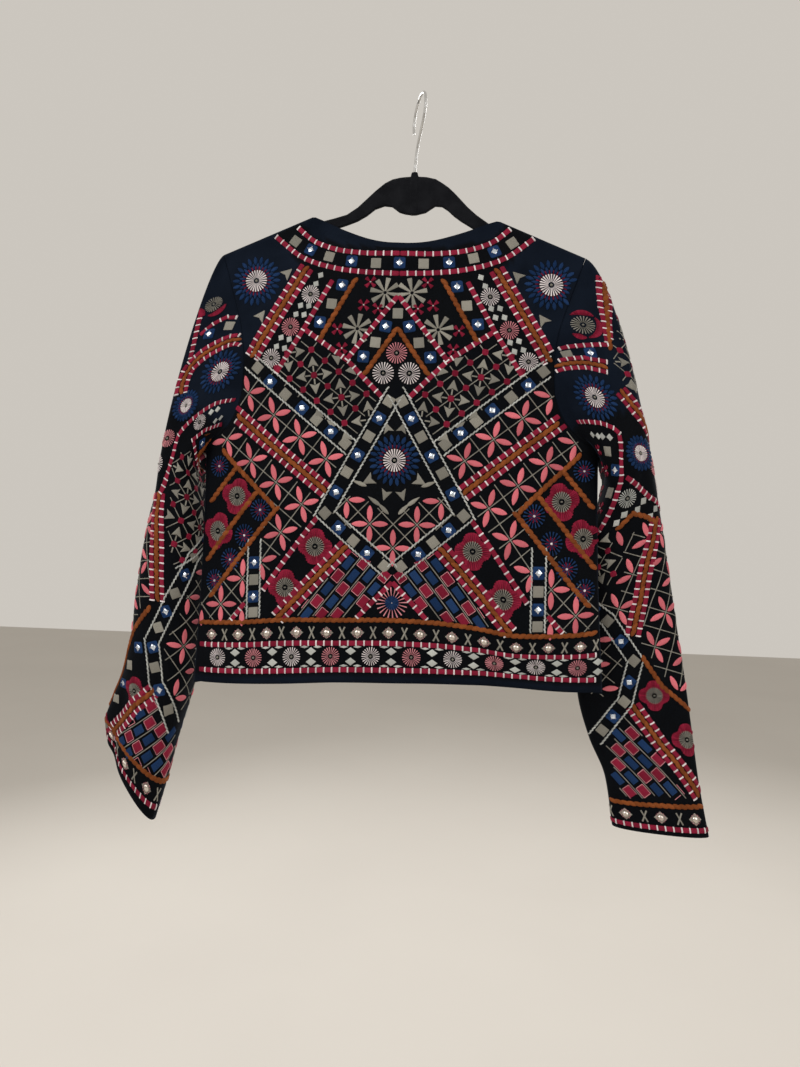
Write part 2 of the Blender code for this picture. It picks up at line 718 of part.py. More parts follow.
def make_hanger():
    """The flat moulded hanger with bevelled edges and a stub for the hook."""
    rings = []
    for row in HANGER:
        bevel = min(HANGER_EDGE_BEVEL, 0.45 * (row.top - row.bottom), 0.6 * row.half)
        flat = row.half - bevel
        section = (
            (-flat, row.top),
            (-row.half, row.top - bevel),
            (-row.half, row.bottom + bevel),
            (-flat, row.bottom),
            (flat, row.bottom),
            (row.half, row.bottom + bevel),
            (row.half, row.top - bevel),
            (flat, row.top),
        )
        rings.append([(HANGER_X + row.x, y, z) for y, z in section])
    add_object("hanger_body", closed_tube("hanger_body", np.array(rings)), "flocking", 40)


def hook_path():
    """The wire's centre line: from its free end over the crown and down to the stub."""
    radius = HOOK_RADIUS + WIRE_RADIUS
    angles = np.linspace(HOOK_TIP_ANGLE, HOOK_NEAR_ANGLE, 19)
    arc = np.stack([radius * np.cos(angles), radius * np.sin(angles) - HOOK_RADIUS], axis=-1)
    points = np.concatenate([arc, np.array([tuple(point) for point in HOOK_STEM])])
    length = np.concatenate([[0.0], np.cumsum(np.linalg.norm(np.diff(points, axis=0), axis=1))])
    at = np.linspace(0.0, length[-1], 31)
    reach = smooth_through(length, points[:, 0], at)
    z = smooth_through(length, points[:, 1], at)
    lean = HANGER_X * z / STUB_TOP_Z
    return np.stack([lean - reach * math.sin(HOOK_TURN), reach * math.cos(HOOK_TURN), z], axis=-1)


def make_hook():
    """The bent wire hook; its free end is rounded."""
    path = hook_path()
    ahead = np.gradient(path, axis=0)
    ahead /= np.linalg.norm(ahead, axis=-1, keepdims=True)
    beside = np.array([math.cos(HOOK_TURN), math.sin(HOOK_TURN), 0.0])
    turns = np.linspace(0.0, 2 * math.pi, WIRE_SIDES, endpoint=False)
    path = np.concatenate([path[:1] - ahead[:1] * 0.6 * WIRE_RADIUS, path])
    ahead = np.concatenate([ahead[:1], ahead])
    rings = []
    for i, (centre, forward) in enumerate(zip(path, ahead)):
        radius = 0.55 * WIRE_RADIUS if i == 0 else WIRE_RADIUS
        across = beside - forward * np.dot(beside, forward)
        across /= np.linalg.norm(across)
        upward = np.cross(forward, across)
        ring = np.outer(np.cos(turns), across) + np.outer(np.sin(turns), upward)
        rings.append(centre + radius * ring)
    add_object("hanger_hook", closed_tube("hanger_hook", np.array(rings)), "wire", 60)


def main():
    """Builds every piece of the jacket, its hanger and its hook."""
    clear_scene()
    back = make_back()
    right_edges = back[1], make_front("right_front", 1)
    left_edges = back[-1], make_front("left_front", -1)
    make_sleeve("right_sleeve", 1, RIGHT_SLEEVE, RIGHT_PLEATS, RIGHT_CAP_REACH, right_edges)
    make_sleeve("left_sleeve", -1, LEFT_SLEEVE, LEFT_PLEATS, LEFT_CAP_REACH, left_edges)
    make_hanger()
    make_hook()


main()
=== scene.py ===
"""The looks of a cropped velvet jacket, worked all over in mirror embroidery, on its flocked hanger.

Each panel of cloth is a thin shell on the form that its solid has, with finer creases. Its embroidery
is laid out flat, as a maker marks it on the cut cloth, and then draped over the shell stitch by stitch.
Flat places are in metres: across from the centre of the back, or round a sleeve, and up.
"""

from __future__ import annotations

import itertools
import json
import logging
import math
from collections.abc import Callable
from dataclasses import dataclass, field
from enum import Enum
from typing import NamedTuple

import bpy
import numpy as np
from mathutils import Matrix, Vector

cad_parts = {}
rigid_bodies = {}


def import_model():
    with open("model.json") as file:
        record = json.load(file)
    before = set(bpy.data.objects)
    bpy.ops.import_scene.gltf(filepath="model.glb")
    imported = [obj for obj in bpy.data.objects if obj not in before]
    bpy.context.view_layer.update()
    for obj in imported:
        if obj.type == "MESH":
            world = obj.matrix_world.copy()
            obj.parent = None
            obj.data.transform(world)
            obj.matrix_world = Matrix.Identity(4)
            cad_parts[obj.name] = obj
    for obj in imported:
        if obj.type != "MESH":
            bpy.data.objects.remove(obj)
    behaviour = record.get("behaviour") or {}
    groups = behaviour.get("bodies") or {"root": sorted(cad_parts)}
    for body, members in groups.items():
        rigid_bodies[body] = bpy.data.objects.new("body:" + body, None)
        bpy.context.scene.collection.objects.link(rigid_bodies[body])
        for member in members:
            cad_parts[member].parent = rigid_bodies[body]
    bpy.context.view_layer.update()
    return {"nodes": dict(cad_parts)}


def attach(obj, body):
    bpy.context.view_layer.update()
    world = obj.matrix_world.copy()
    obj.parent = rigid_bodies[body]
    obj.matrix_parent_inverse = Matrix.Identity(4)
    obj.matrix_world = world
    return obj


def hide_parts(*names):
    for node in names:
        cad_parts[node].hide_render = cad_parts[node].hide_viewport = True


LOG = logging.getLogger("jacket")

Place = tuple[float, float]
Flat = tuple[Place, ...]
Colour = tuple[float, float, float]


class Thread(Enum):
    """The threads and trimmings of the embroidery, in the order they are worked."""

    GREY = "grey_thread"
    IVORY = "ivory_thread"
    CRIMSON = "crimson_thread"
    ORANGE = "orange_thread"
    PINK = "pink_thread"
    BLUE = "blue_thread"
    MINT = "mint_thread"
    BLUSH = "blush_thread"
    MIRROR = "mirror"
    SILVER = "silver"


class Motif(Enum):
    """The shapes that stitches make; a motif's value is its place in the motif collection."""

    BAR = 0
    BLOCK = 1
    LINK = 2
    TWIST = 3
    LINE = 4
    PETAL = 5
    SQUARE = 6
    PLATE = 7
    DIAMOND = 8
    ARROW = 9
    BLADE = 10
    SPOKE = 11
    KNOT = 12
    BRICK = 13
    BEAD = 14
    LEAF = 15


class Hand(Enum):
    """Which side of the wearer a piece is on."""

    LEFT = -1
    RIGHT = 1


class Face(Enum):
    """Which face of the hanging jacket a panel is on, as the sign of its Y."""

    BACK = -1
    FRONT = 1


class Height(NamedTuple):
    """A value that changes down the jacket."""

    z: float
    value: float


class Point(NamedTuple):
    """A point of a cutting line, from the jacket's centre line."""

    u: float
    z: float


class SleeveRow(NamedTuple):
    """One cross-section of a hanging sleeve; cant is how much higher its outer side is."""

    z: float
    outer: float
    inner: float
    middle_y: float
    half_depth: float
    cant: float


class Pleat(NamedTuple):
    """A soft trough down a sleeve; drift is how far it moves round the sleeve on its way down."""

    turn: float
    drift: float
    top: float
    bottom: float
    width: float
    depth: float


class Crease(NamedTuple):
    """A soft trough, or a ridge with a negative depth, between two places of a panel."""

    u1: float
    z1: float
    u2: float
    z2: float
    width: float
    depth: float


class HemPlace(NamedTuple):
    """A place along the hem: how far the border and the hem droop, and how far the hem tucks in."""

    u: float
    border_droop: float
    hem_droop: float
    tuck: float


# Cloth, and where the jacket sits on the hanger
CLOTH_WALL = 0.0016
TURNED_HEM_WALL = 0.0026
TURNED_HEM_DEPTH = 0.022
SEAM_GAP = 0.0004
TURNED_HEM_EASE = 0.004
JACKET_X = -0.021
SHOULDER_TILT = 0.030
TILT_FADE_TOP = -0.20
TILT_FADE_END = -0.46

# Neck, shoulders, side seams, hem and front edges
NECK_HALF_WIDTH = 0.111
NECK_SHIFT = 0.005
NECK_POINT_Z = -0.1435
BACK_NECK_Z = -0.178
FRONT_NECK_Z = -0.252
BACK_NECK_ROUNDNESS = 2.4
FRONT_NECK_ROUNDNESS = 2.0
SHOULDER_HALF_WIDTH = 0.214
SHOULDER_SLOPE = 0.42
SHOULDER_END_Z = NECK_POINT_Z - SHOULDER_SLOPE * (SHOULDER_HALF_WIDTH - NECK_HALF_WIDTH)
SHOULDER_FOLD_RADIUS = 0.007
UNDERARM_HALF_WIDTH = 0.2395
UNDERARM_Z = -0.412
UNDERARM_LEAN = 0.25
HEM_Z = -0.684
FRONT_HEM_Z = -0.687
FRONT_EDGE_U = 0.006
FRONT_EDGE_GAP = 0.004
BORDER_Z = -0.611
DROOP_START_Z = -0.440

# Sleeve caps and the roundness of the cross-section
RIGHT_CAP_REACH = 0.37
LEFT_CAP_REACH = 0.22
UNDERARM_REACH = 0.80
CAP_HANG = 0.92
SECTION_FLATNESS = 2.6
SLEEVE_FLATNESS = 2.35
ARM_SIDE_SHARE = 0.12
DROOP_BULGE = 0.35
STAND_OFF_FADE = 0.05
FOLD_FADE = 0.04
CREASE_END_SHARE = 0.3
PLEAT_END_STEEPNESS = 4.0
UNDERARM_SPREAD = 0.35
SECTION_ROLL = 1.6
ARM_ROLL_START_Z = -0.300
ARM_ROLL_END_Z = -0.400

# Rows and columns of the cloth; each step of the cutting lines is split into this many
FOLD_SHARES = (0.000, 0.002, 0.008, 0.018, 0.030)
ARMHOLE_SHARES = (0.09, 0.17, 0.26, 0.35, 0.45, 0.55, 0.65, 0.74, 0.82, 0.89, 0.94, 0.975, 1.0)
SIDE_SHARES = (0.012, 0.040, 0.090, 0.180, 0.300, 0.440, 0.580, 0.700, 0.800, 0.880, 0.940, 1.0)
STEP_SPLITS = 3
NECK_COLUMN_PULL = 0.45
BACK_COLUMNS = 96
FRONT_COLUMNS = 45
CAP_ROWS = 24
SLEEVE_ROWS = 75
PETAL_REACH = 0.0118
SLEEVE_PETAL_PITCH = 0.0425
ARROW_PITCH = 0.0208
BRICK_COURSE = 0.0142
BRICK_RUN = 0.0190
STITCH_INSET = 0.0030
HALF_INSET = 0.0025
DARK_SLEEVE_Z = -0.365
CHART_STEP = 0.0015
CHART_REACH = 0.290
CHART_TOP = -0.165
CHART_PAST_CUFF = 0.006
CAP_CHART_ROUNDS = 6
TUBE_CHART_ROUNDS = 2
ROW_SPACING = 0.006
NORMAL_STEP = 0.0008
SHARP_ANGLE = math.radians(48)
STITCH_SINK = 0.0004
UNDERARM_ROW = STEP_SPLITS * (len(FOLD_SHARES) + len(ARMHOLE_SHARES) - 1)

# The camera that the photograph was taken with
CAMERA_PLACE = (0.1039, -0.9426, -0.4922)
CAMERA_RIGHT = (0.99192, 0.12518, 0.02042)
CAMERA_UP = (-0.02299, 0.01911, 0.99955)
CAMERA_AHEAD = (-0.12473, 0.99195, -0.02184)
CAMERA_LENS = 27.0
FLOOR_Z = -1.60
FLOOR_REACH = 6.0

SECTION_WIDTH = (
    Height(-0.100, 0.150),
    Height(-0.150, 0.190),
    Height(-0.200, 0.230),
    Height(-0.240, 0.252),
    Height(-0.300, 0.268),
    Height(-0.340, 0.272),
    Height(-0.380, 0.256),
    Height(-0.400, 0.246),
    Height(-0.412, 0.2395),
    Height(-0.416, 0.2358),
    Height(-0.424, 0.2342),
    Height(-0.460, 0.2345),
    Height(-0.540, 0.2370),
    Height(-0.610, 0.2410),
    Height(-0.700, 0.2465),
)

STAND_OFF = (
    Height(0.000, 0.0000),
    Height(0.030, 0.0070),
    Height(0.080, 0.0180),
    Height(0.160, 0.0270),
    Height(0.260, 0.0310),
    Height(0.400, 0.0300),
    Height(0.560, 0.0270),
)

BACK_ARMHOLE = (
    Point(SHOULDER_HALF_WIDTH, SHOULDER_END_Z),
    Point(0.203, -0.220),
    Point(0.193, -0.250),
    Point(0.184, -0.282),
    Point(0.180, -0.315),
    Point(0.181, -0.345),
    Point(0.188, -0.371),
    Point(0.201, -0.391),
    Point(0.217, -0.405),
    Point(UNDERARM_HALF_WIDTH, UNDERARM_Z),
)

FRONT_ARMHOLE = (
    Point(SHOULDER_HALF_WIDTH, SHOULDER_END_Z),
    Point(0.200, -0.220),
    Point(0.188, -0.250),
    Point(0.178, -0.282),
    Point(0.173, -0.315),
    Point(0.174, -0.345),
    Point(0.183, -0.371),
    Point(0.198, -0.391),
    Point(0.216, -0.405),
    Point(UNDERARM_HALF_WIDTH, UNDERARM_Z),
)

RIGHT_SLEEVE = (
    SleeveRow(-0.452, 0.3010, 0.2410, 0.018, 0.047, 0.012),
    SleeveRow(-0.480, 0.3080, 0.2350, 0.030, 0.044, 0.014),
    SleeveRow(-0.510, 0.3150, 0.2270, 0.040, 0.039, 0.016),
    SleeveRow(-0.550, 0.3225, 0.2190, 0.045, 0.033, 0.018),
    SleeveRow(-0.600, 0.3320, 0.2150, 0.048, 0.026, 0.018),
    SleeveRow(-0.650, 0.3410, 0.2170, 0.050, 0.021, 0.018),
    SleeveRow(-0.700, 0.3500, 0.2230, 0.050, 0.018, 0.016),
    SleeveRow(-0.750, 0.3580, 0.2370, 0.049, 0.016, 0.012),
    SleeveRow(-0.800, 0.3660, 0.2570, 0.047, 0.015, 0.004),
    SleeveRow(-0.864, 0.3800, 0.2670, 0.046, 0.015, -0.006),
)

LEFT_SLEEVE = (
    SleeveRow(-0.452, 0.2935, 0.2430, 0.012, 0.047, 0.012),
    SleeveRow(-0.480, 0.2980, 0.2390, 0.014, 0.048, 0.014),
    SleeveRow(-0.510, 0.3060, 0.2380, 0.016, 0.048, 0.016),
    SleeveRow(-0.550, 0.3150, 0.2400, 0.018, 0.047, 0.018),
    SleeveRow(-0.600, 0.3240, 0.2440, 0.020, 0.045, 0.020),
    SleeveRow(-0.650, 0.3310, 0.2490, 0.022, 0.043, 0.022),
    SleeveRow(-0.700, 0.3400, 0.2580, 0.022, 0.041, 0.030),
    SleeveRow(-0.750, 0.3560, 0.2750, 0.021, 0.034, 0.052),
    SleeveRow(-0.795, 0.3670, 0.2890, 0.020, 0.028, 0.078),
    SleeveRow(-0.833, 0.3650, 0.3030, 0.020, 0.023, 0.100),
)

RIGHT_PLEATS = (
    Pleat(0.36, 0.00, -0.300, -0.530, 0.19, 0.0100),
    Pleat(0.62, 0.00, -0.620, -0.800, 0.13, 0.0040),
    Pleat(1.40, 0.00, -0.420, -0.640, 0.16, 0.0070),
    Pleat(0.55, 0.16, -0.380, -0.560, 0.05, 0.0030),
    Pleat(0.40, -0.12, -0.520, -0.690, 0.05, 0.0022),
    Pleat(0.30, 0.22, -0.700, -0.850, 0.05, 0.0018),
    Pleat(1.25, 0.20, -0.460, -0.700, 0.06, 0.0026),
    Pleat(1.60, -0.10, -0.560, -0.820, 0.06, 0.0022),
)

LEFT_PLEATS = (
    Pleat(0.42, 0.00, -0.330, -0.500, 0.15, 0.0100),
    Pleat(0.30, 0.00, -0.700, -0.860, 0.13, 0.0070),
    Pleat(1.45, 0.00, -0.440, -0.620, 0.16, 0.0070),
    Pleat(0.60, -0.14, -0.400, -0.590, 0.05, 0.0026),
    Pleat(0.48, 0.12, -0.560, -0.720, 0.05, 0.0024),
    Pleat(0.62, -0.20, -0.680, -0.810, 0.05, 0.0022),
    Pleat(1.30, 0.16, -0.480, -0.720, 0.06, 0.0026),
    Pleat(1.62, -0.12, -0.600, -0.800, 0.06, 0.0020),
)

BACK_HEM = (
    HemPlace(-0.250, 0.0150, 0.0150, 0.004),
    HemPlace(-0.180, 0.0100, 0.0120, 0.005),
    HemPlace(-0.120, 0.0040, 0.0080, 0.003),
    HemPlace(-0.060, 0.0020, 0.0030, 0.001),
    HemPlace(0.000, 0.0000, 0.0010, 0.000),
    HemPlace(0.050, 0.0010, 0.0000, 0.003),
    HemPlace(0.100, 0.0060, 0.0010, 0.012),
    HemPlace(0.150, 0.0130, 0.0040, 0.022),
    HemPlace(0.205, 0.0120, 0.0060, 0.016),
    HemPlace(0.250, 0.0080, 0.0060, 0.004),
)

FRONT_HEM = (
    HemPlace(-0.250, 0.0120, 0.0150, 0.004),
    HemPlace(-0.110, 0.0050, 0.0060, 0.008),
    HemPlace(0.000, 0.0000, 0.0000, 0.000),
    HemPlace(0.120, 0.0040, 0.0030, 0.007),
    HemPlace(0.250, 0.0080, 0.0060, 0.004),
)

BACK_CREASES = (
    Crease(0.196, -0.250, 0.168, -0.330, 0.010, 0.0026),
    Crease(0.170, -0.300, 0.196, -0.400, 0.009, 0.0024),
    Crease(-0.196, -0.246, -0.170, -0.330, 0.010, 0.0022),
    Crease(-0.172, -0.310, -0.200, -0.396, 0.009, 0.0020),
    Crease(0.205, -0.440, 0.150, -0.520, 0.012, 0.0018),
    Crease(-0.210, -0.450, -0.160, -0.560, 0.013, 0.0016),
    Crease(0.090, -0.560, 0.110, -0.684, 0.014, 0.0016),
    Crease(0.168, -0.590, 0.172, -0.684, 0.012, -0.0018),
    Crease(-0.100, -0.600, -0.110, -0.684, 0.015, 0.0012),
    Crease(0.040, -0.230, 0.020, -0.330, 0.022, -0.0012),
)

FRONT_CREASES = (
    Crease(0.190, -0.250, 0.150, -0.360, 0.011, 0.0026),
    Crease(-0.190, -0.250, -0.145, -0.350, 0.012, 0.0028),
    Crease(0.200, -0.430, 0.120, -0.560, 0.014, 0.0022),
    Crease(-0.205, -0.440, -0.130, -0.540, 0.013, 0.0020),
    Crease(0.080, -0.520, 0.095, -0.687, 0.014, -0.0022),
    Crease(-0.070, -0.500, -0.085, -0.687, 0.015, 0.0020),
    Crease(-0.160, -0.580, -0.150, -0.687, 0.013, -0.0016),
)


def ease(value: np.ndarray | float) -> np.ndarray:
    """A smooth step.

    Args:
        value: Where to read the step; it rises from 0 to 1.

    Returns:
        0 below 0, 1 above 1, and smooth in between.
    """
    value = np.clip(value, 0.0, 1.0)
    return value * value * (3.0 - 2.0 * value)


def bell(distance: np.ndarray, width: float) -> np.ndarray:
    """1 at no distance, falling smoothly to nothing at about twice the width."""
    return np.exp(-((distance / width) ** 2))


def gentle_slopes(places: np.ndarray, values: np.ndarray) -> np.ndarray:
    """Slopes for a curve that never swings past its points.

    Args:
        places: Where the points are, rising.
        values: The points' values.

    Returns:
        The slope at each point.
    """
    steps = np.diff(places)
    rises = np.diff(values) / steps
    slopes = np.zeros_like(values)
    before = 2 * steps[1:] + steps[:-1]
    after = steps[1:] + 2 * steps[:-1]
    for i in np.flatnonzero(rises[:-1] * rises[1:] > 0):
        weights = before[i] / rises[i] + after[i] / rises[i + 1]
        slopes[i + 1] = (before[i] + after[i]) / weights
    slopes[0], slopes[-1] = rises[0], rises[-1]
    return slopes


def hermite(
    start: np.ndarray, leaving: np.ndarray, end: np.ndarray, arriving: np.ndarray, share: np.ndarray | float
) -> np.ndarray:
    """Reads a smooth curve that has given ends and directions.

    Args:
        start: Where it starts.
        leaving: Its direction and speed there.
        end: Where it ends.
        arriving: Its direction and speed there.
        share: How far along it to read, from 0 to 1.

    Returns:
        The point or points.
    """
    back = 1 - share
    held = (1 + 2 * share) * back**2 * start + share**2 * (3 - 2 * share) * end
    return held + share * back**2 * leaving - share**2 * back * arriving


def smooth_through(places: list[float], values: list[float], at: np.ndarray) -> np.ndarray:
    """Reads a smooth curve through the rows of a table.

    Args:
        places: Where the rows are, rising or falling.
        values: The rows' values.
        at: The places to read.

    Returns:
        The value at each of them.
    """
    places = np.asarray(places, float)
    values = np.asarray(values, float)
    if places[0] > places[-1]:
        places, values = places[::-1], values[::-1]
    slopes = gentle_slopes(places, values)
    at = np.clip(np.asarray(at, float), places[0], places[-1])
    row = np.clip(np.searchsorted(places, at) - 1, 0, len(places) - 2)
    step = places[row + 1] - places[row]
    t = (at - places[row]) / step
    return hermite(values[row], slopes[row] * step, values[row + 1], slopes[row + 1] * step, t)


def lengths(points: np.ndarray) -> np.ndarray:
    """How far along a line each of its points is."""
    return np.concatenate([[0.0], np.cumsum(np.linalg.norm(np.diff(points, axis=0), axis=1))])


def down_table(table: tuple[Height, ...], at: np.ndarray) -> np.ndarray:
    """The value of a table of heights at any height."""
    return smooth_through([row.z for row in table], [row.value for row in table], at)


def split_steps(shares: tuple[float, ...]) -> np.ndarray:
    """The same shares with each step split evenly, so that a finer grid keeps the solid's form."""
    count = len(shares)
    return np.interp(np.arange((count - 1) * STEP_SPLITS + 1) / STEP_SPLITS, np.arange(count), shares)


def along_line(points: tuple[Point, ...], shares: np.ndarray) -> np.ndarray:
    """Points at the given shares of a smooth cutting line's length."""
    line = np.array(points)
    length = lengths(line)
    return np.stack([smooth_through(length, line[:, k], shares * length[-1]) for k in range(2)], axis=-1)


def fold_height(u: np.ndarray) -> np.ndarray:
    """Height of the shoulder fold; inside the neck it is the line that the slopes would meet on."""
    return NECK_POINT_Z + SHOULDER_SLOPE * (NECK_HALF_WIDTH - np.abs(u))


def stand_off(u: np.ndarray, z: np.ndarray) -> np.ndarray:
    """How far the cloth stands off the hanger's plane at a place of the back or front."""
    drop = np.maximum(fold_height(u) - z, 0.0)
    radius = SHOULDER_FOLD_RADIUS
    rolled = np.sqrt(np.maximum(radius**2 - (radius - np.minimum(drop, radius)) ** 2, 0.0))
    falling = down_table(STAND_OFF, drop - radius) * ease(drop / STAND_OFF_FADE)
    share = np.minimum(np.abs(u) / down_table(SECTION_WIDTH, z), 1.0)
    side = (1.0 - share**SECTION_FLATNESS) ** (1.0 / SECTION_ROLL)
    over_arm = ease((z - ARM_ROLL_END_Z) / (ARM_ROLL_START_Z - ARM_ROLL_END_Z))
    on_arm = (1.0 - side) * over_arm
    return rolled * (side + on_arm) + falling * (side + ARM_SIDE_SHARE * on_arm)


def along_hem(places: tuple[HemPlace, ...], column: str, u: np.ndarray) -> np.ndarray:
    """A column of a hem table at any place along the hem."""
    return smooth_through([row.u for row in places], [getattr(row, column) for row in places], u)


def creased(creases: tuple[Crease, ...], u: np.ndarray, z: np.ndarray) -> np.ndarray:
    """How deep the creases sink at places of a panel, fading out towards each crease's ends."""
    sink = np.zeros(np.broadcast(u, z).shape)
    for crease in creases:
        du, dz = crease.u2 - crease.u1, crease.z2 - crease.z1
        length = math.hypot(du, dz)
        share = ((u - crease.u1) * du + (z - crease.z1) * dz) / length**2
        off = ((u - crease.u1) * dz - (z - crease.z1) * du) / length
        run = ease(share / CREASE_END_SHARE + 0.5) * ease((1.0 - share) / CREASE_END_SHARE + 0.5)
        sink = sink + crease.depth * run * bell(off, crease.width)
    return sink


def draped(u: np.ndarray, z: np.ndarray, face: Face) -> np.ndarray:
    """Hangs places of the back or front in space.

    Args:
        u: Distances across, from the centre line.
        z: Heights on the flat panel.
        face: The back or the front.

    Returns:
        The places in space.
    """
    u = np.asarray(u, float)
    z = np.asarray(z, float)
    places = BACK_HEM if face is Face.BACK else FRONT_HEM
    creases = BACK_CREASES if face is Face.BACK else FRONT_CREASES
    border, hem, tuck = (along_hem(places, name, u) for name in HemPlace._fields[1:])
    low = ease((DROOP_START_Z - z) / (DROOP_START_Z - BORDER_Z))
    fold = ease((BORDER_Z - z) / (BORDER_Z - HEM_Z))
    drop = border * low + (hem - border) * fold
    share = np.minimum(np.abs(u) / down_table(SECTION_WIDTH, z), 1.0)
    below_fold = ease((fold_height(u) - z) / FOLD_FADE)
    bulge = DROOP_BULGE * border * low - tuck * fold - creased(creases, u, z) * below_fold
    y = np.maximum(stand_off(u, z) + bulge * (1.0 - share**4), 0.0)
    tilt = SHOULDER_TILT * u * ease((z - TILT_FADE_END) / (TILT_FADE_TOP - TILT_FADE_END))
    return np.stack([JACKET_X + u, face.value * (y + SEAM_GAP / 2), z - drop - tilt], axis=-1)


def side_line(armhole_points: tuple[Point, ...], hand: Hand, hem_z: float) -> np.ndarray:
    """Down the armhole and the side seam: one point for each row of the panel."""
    shares = split_steps((*FOLD_SHARES, *ARMHOLE_SHARES, *(1.0 + share for share in SIDE_SHARES)))
    armhole = along_line(armhole_points, shares[: UNDERARM_ROW + 1])
    z = UNDERARM_Z + (hem_z - UNDERARM_Z) * (shares[UNDERARM_ROW + 1 :] - 1.0)
    seam = np.stack([down_table(SECTION_WIDTH, z), z], axis=-1)
    line = np.concatenate([armhole, seam])
    line[:, 0] *= hand.value
    return line


def filled_between(
    top: np.ndarray, bottom: np.ndarray, left: np.ndarray, right: np.ndarray
) -> np.ndarray:
    """Fills a grid of points between four lines that meet at their ends.

    Args:
        top: The top line, from left to right.
        bottom: The bottom line, from left to right.
        left: The left line, from top to bottom.
        right: The right line, from top to bottom.

    Returns:
        The grid, rows from top to bottom.
    """
    left_down, right_down, across = (lengths(line) for line in (left, right, bottom))
    t = (0.5 * (left_down / left_down[-1] + right_down / right_down[-1]))[:, None, None]
    s = (across / across[-1])[None, :, None]
    lines = (1 - t) * top[None] + t * bottom[None] + (1 - s) * left[:, None] + s * right[:, None]
    corners = (
        (1 - t) * (1 - s) * top[0]
        + (1 - t) * s * top[-1]
        + t * (1 - s) * bottom[0]
        + t * s * bottom[-1]
    )
    return lines - corners


def spread_out(columns: int, even_share: float) -> np.ndarray:
    """Shares from 0 to 1, closer together at both ends."""
    even = np.linspace(0.0, 1.0, columns + 1)
    return even_share * even + (1.0 - even_share) * 0.5 * (1.0 - np.cos(math.pi * even))


def top_line(u: np.ndarray, lowest_z: float, roundness: float) -> tuple[np.ndarray, np.ndarray]:
    """The neck edge and the shoulder lines, with a column at each neck point and one close inside.

    Args:
        u: The columns' distances across.
        lowest_z: The height of the neck's lowest point.
        roundness: How flat the neck's curve is at its middle.

    Returns:
        The line's points, and which of them are on a shoulder.
    """
    for point in (NECK_SHIFT - NECK_HALF_WIDTH, NECK_SHIFT + NECK_HALF_WIDTH):
        nearest = np.argmin(np.abs(u - point))
        if 0 < nearest < len(u) - 1:
            step = 1 if abs(u[nearest + 1] - NECK_SHIFT) < abs(u[nearest - 1] - NECK_SHIFT) else -1
            u[nearest] = point
            u[nearest + step] += NECK_COLUMN_PULL * (point - u[nearest + step])
    reach = np.abs(u - NECK_SHIFT) / NECK_HALF_WIDTH
    neck = lowest_z + (fold_height(u) - lowest_z) * reach**roundness
    on_shoulder = reach > 1.0 - 1e-6
    return np.stack([u, np.where(on_shoulder, fold_height(u), neck)], axis=-1), on_shoulder


def normals_of(points: np.ndarray, closed: bool = False) -> np.ndarray:
    """Unit normals of a grid of points, from its neighbours along the rows and columns."""
    if closed:
        across = np.roll(points, -1, axis=1) - np.roll(points, 1, axis=1)
    else:
        across = np.gradient(points, axis=1)
    down = np.gradient(points, axis=0)
    normals = np.cross(down, across)
    return normals / np.linalg.norm(normals, axis=-1, keepdims=True)


def level_normals(normals: np.ndarray, rows: np.ndarray | int, columns: np.ndarray | int) -> None:
    """Turns the normals of a seam that lies in the hanger's plane into that plane."""
    normals[rows, columns, 1] = 0.0
    size = np.linalg.norm(normals[rows, columns], axis=-1, keepdims=True)
    normals[rows, columns] /= size


def level_side(normals: np.ndarray, column: int, hand: Hand) -> None:
    """Levels the normals down a side seam; at the underarm the cloth folds over and faces down."""
    level_normals(normals, np.arange(UNDERARM_ROW, len(normals)), column)
    lean = UNDERARM_LEAN
    normals[UNDERARM_ROW, column] = (hand.value * lean, 0.0, -math.sqrt(1 - lean**2))


def wall_depth(distance: np.ndarray) -> np.ndarray:
    """Thickness of the cloth at a distance from a turned edge."""
    turned = ease((TURNED_HEM_DEPTH - distance) / TURNED_HEM_EASE + 0.5)
    return CLOTH_WALL + (TURNED_HEM_WALL - CLOTH_WALL) * turned


def inside(polygon: Flat, places: np.ndarray) -> np.ndarray:
    """Which flat places lie in a polygon.

    Args:
        polygon: Its corners in order.
        places: The places to test, one a row.

    Returns:
        True for each place inside.
    """
    corners = np.asarray(polygon, float)
    ends = np.roll(corners, -1, axis=0)
    x, y = places[:, :1], places[:, 1:2]
    crosses = (corners[:, 1] > y) != (ends[:, 1] > y)
    rise = np.where(ends[:, 1] == corners[:, 1], 1.0, ends[:, 1] - corners[:, 1])
    at = corners[:, 0] + (ends[:, 0] - corners[:, 0]) * (y - corners[:, 1]) / rise
    return (crosses & (x < at)).sum(axis=1) % 2 == 1


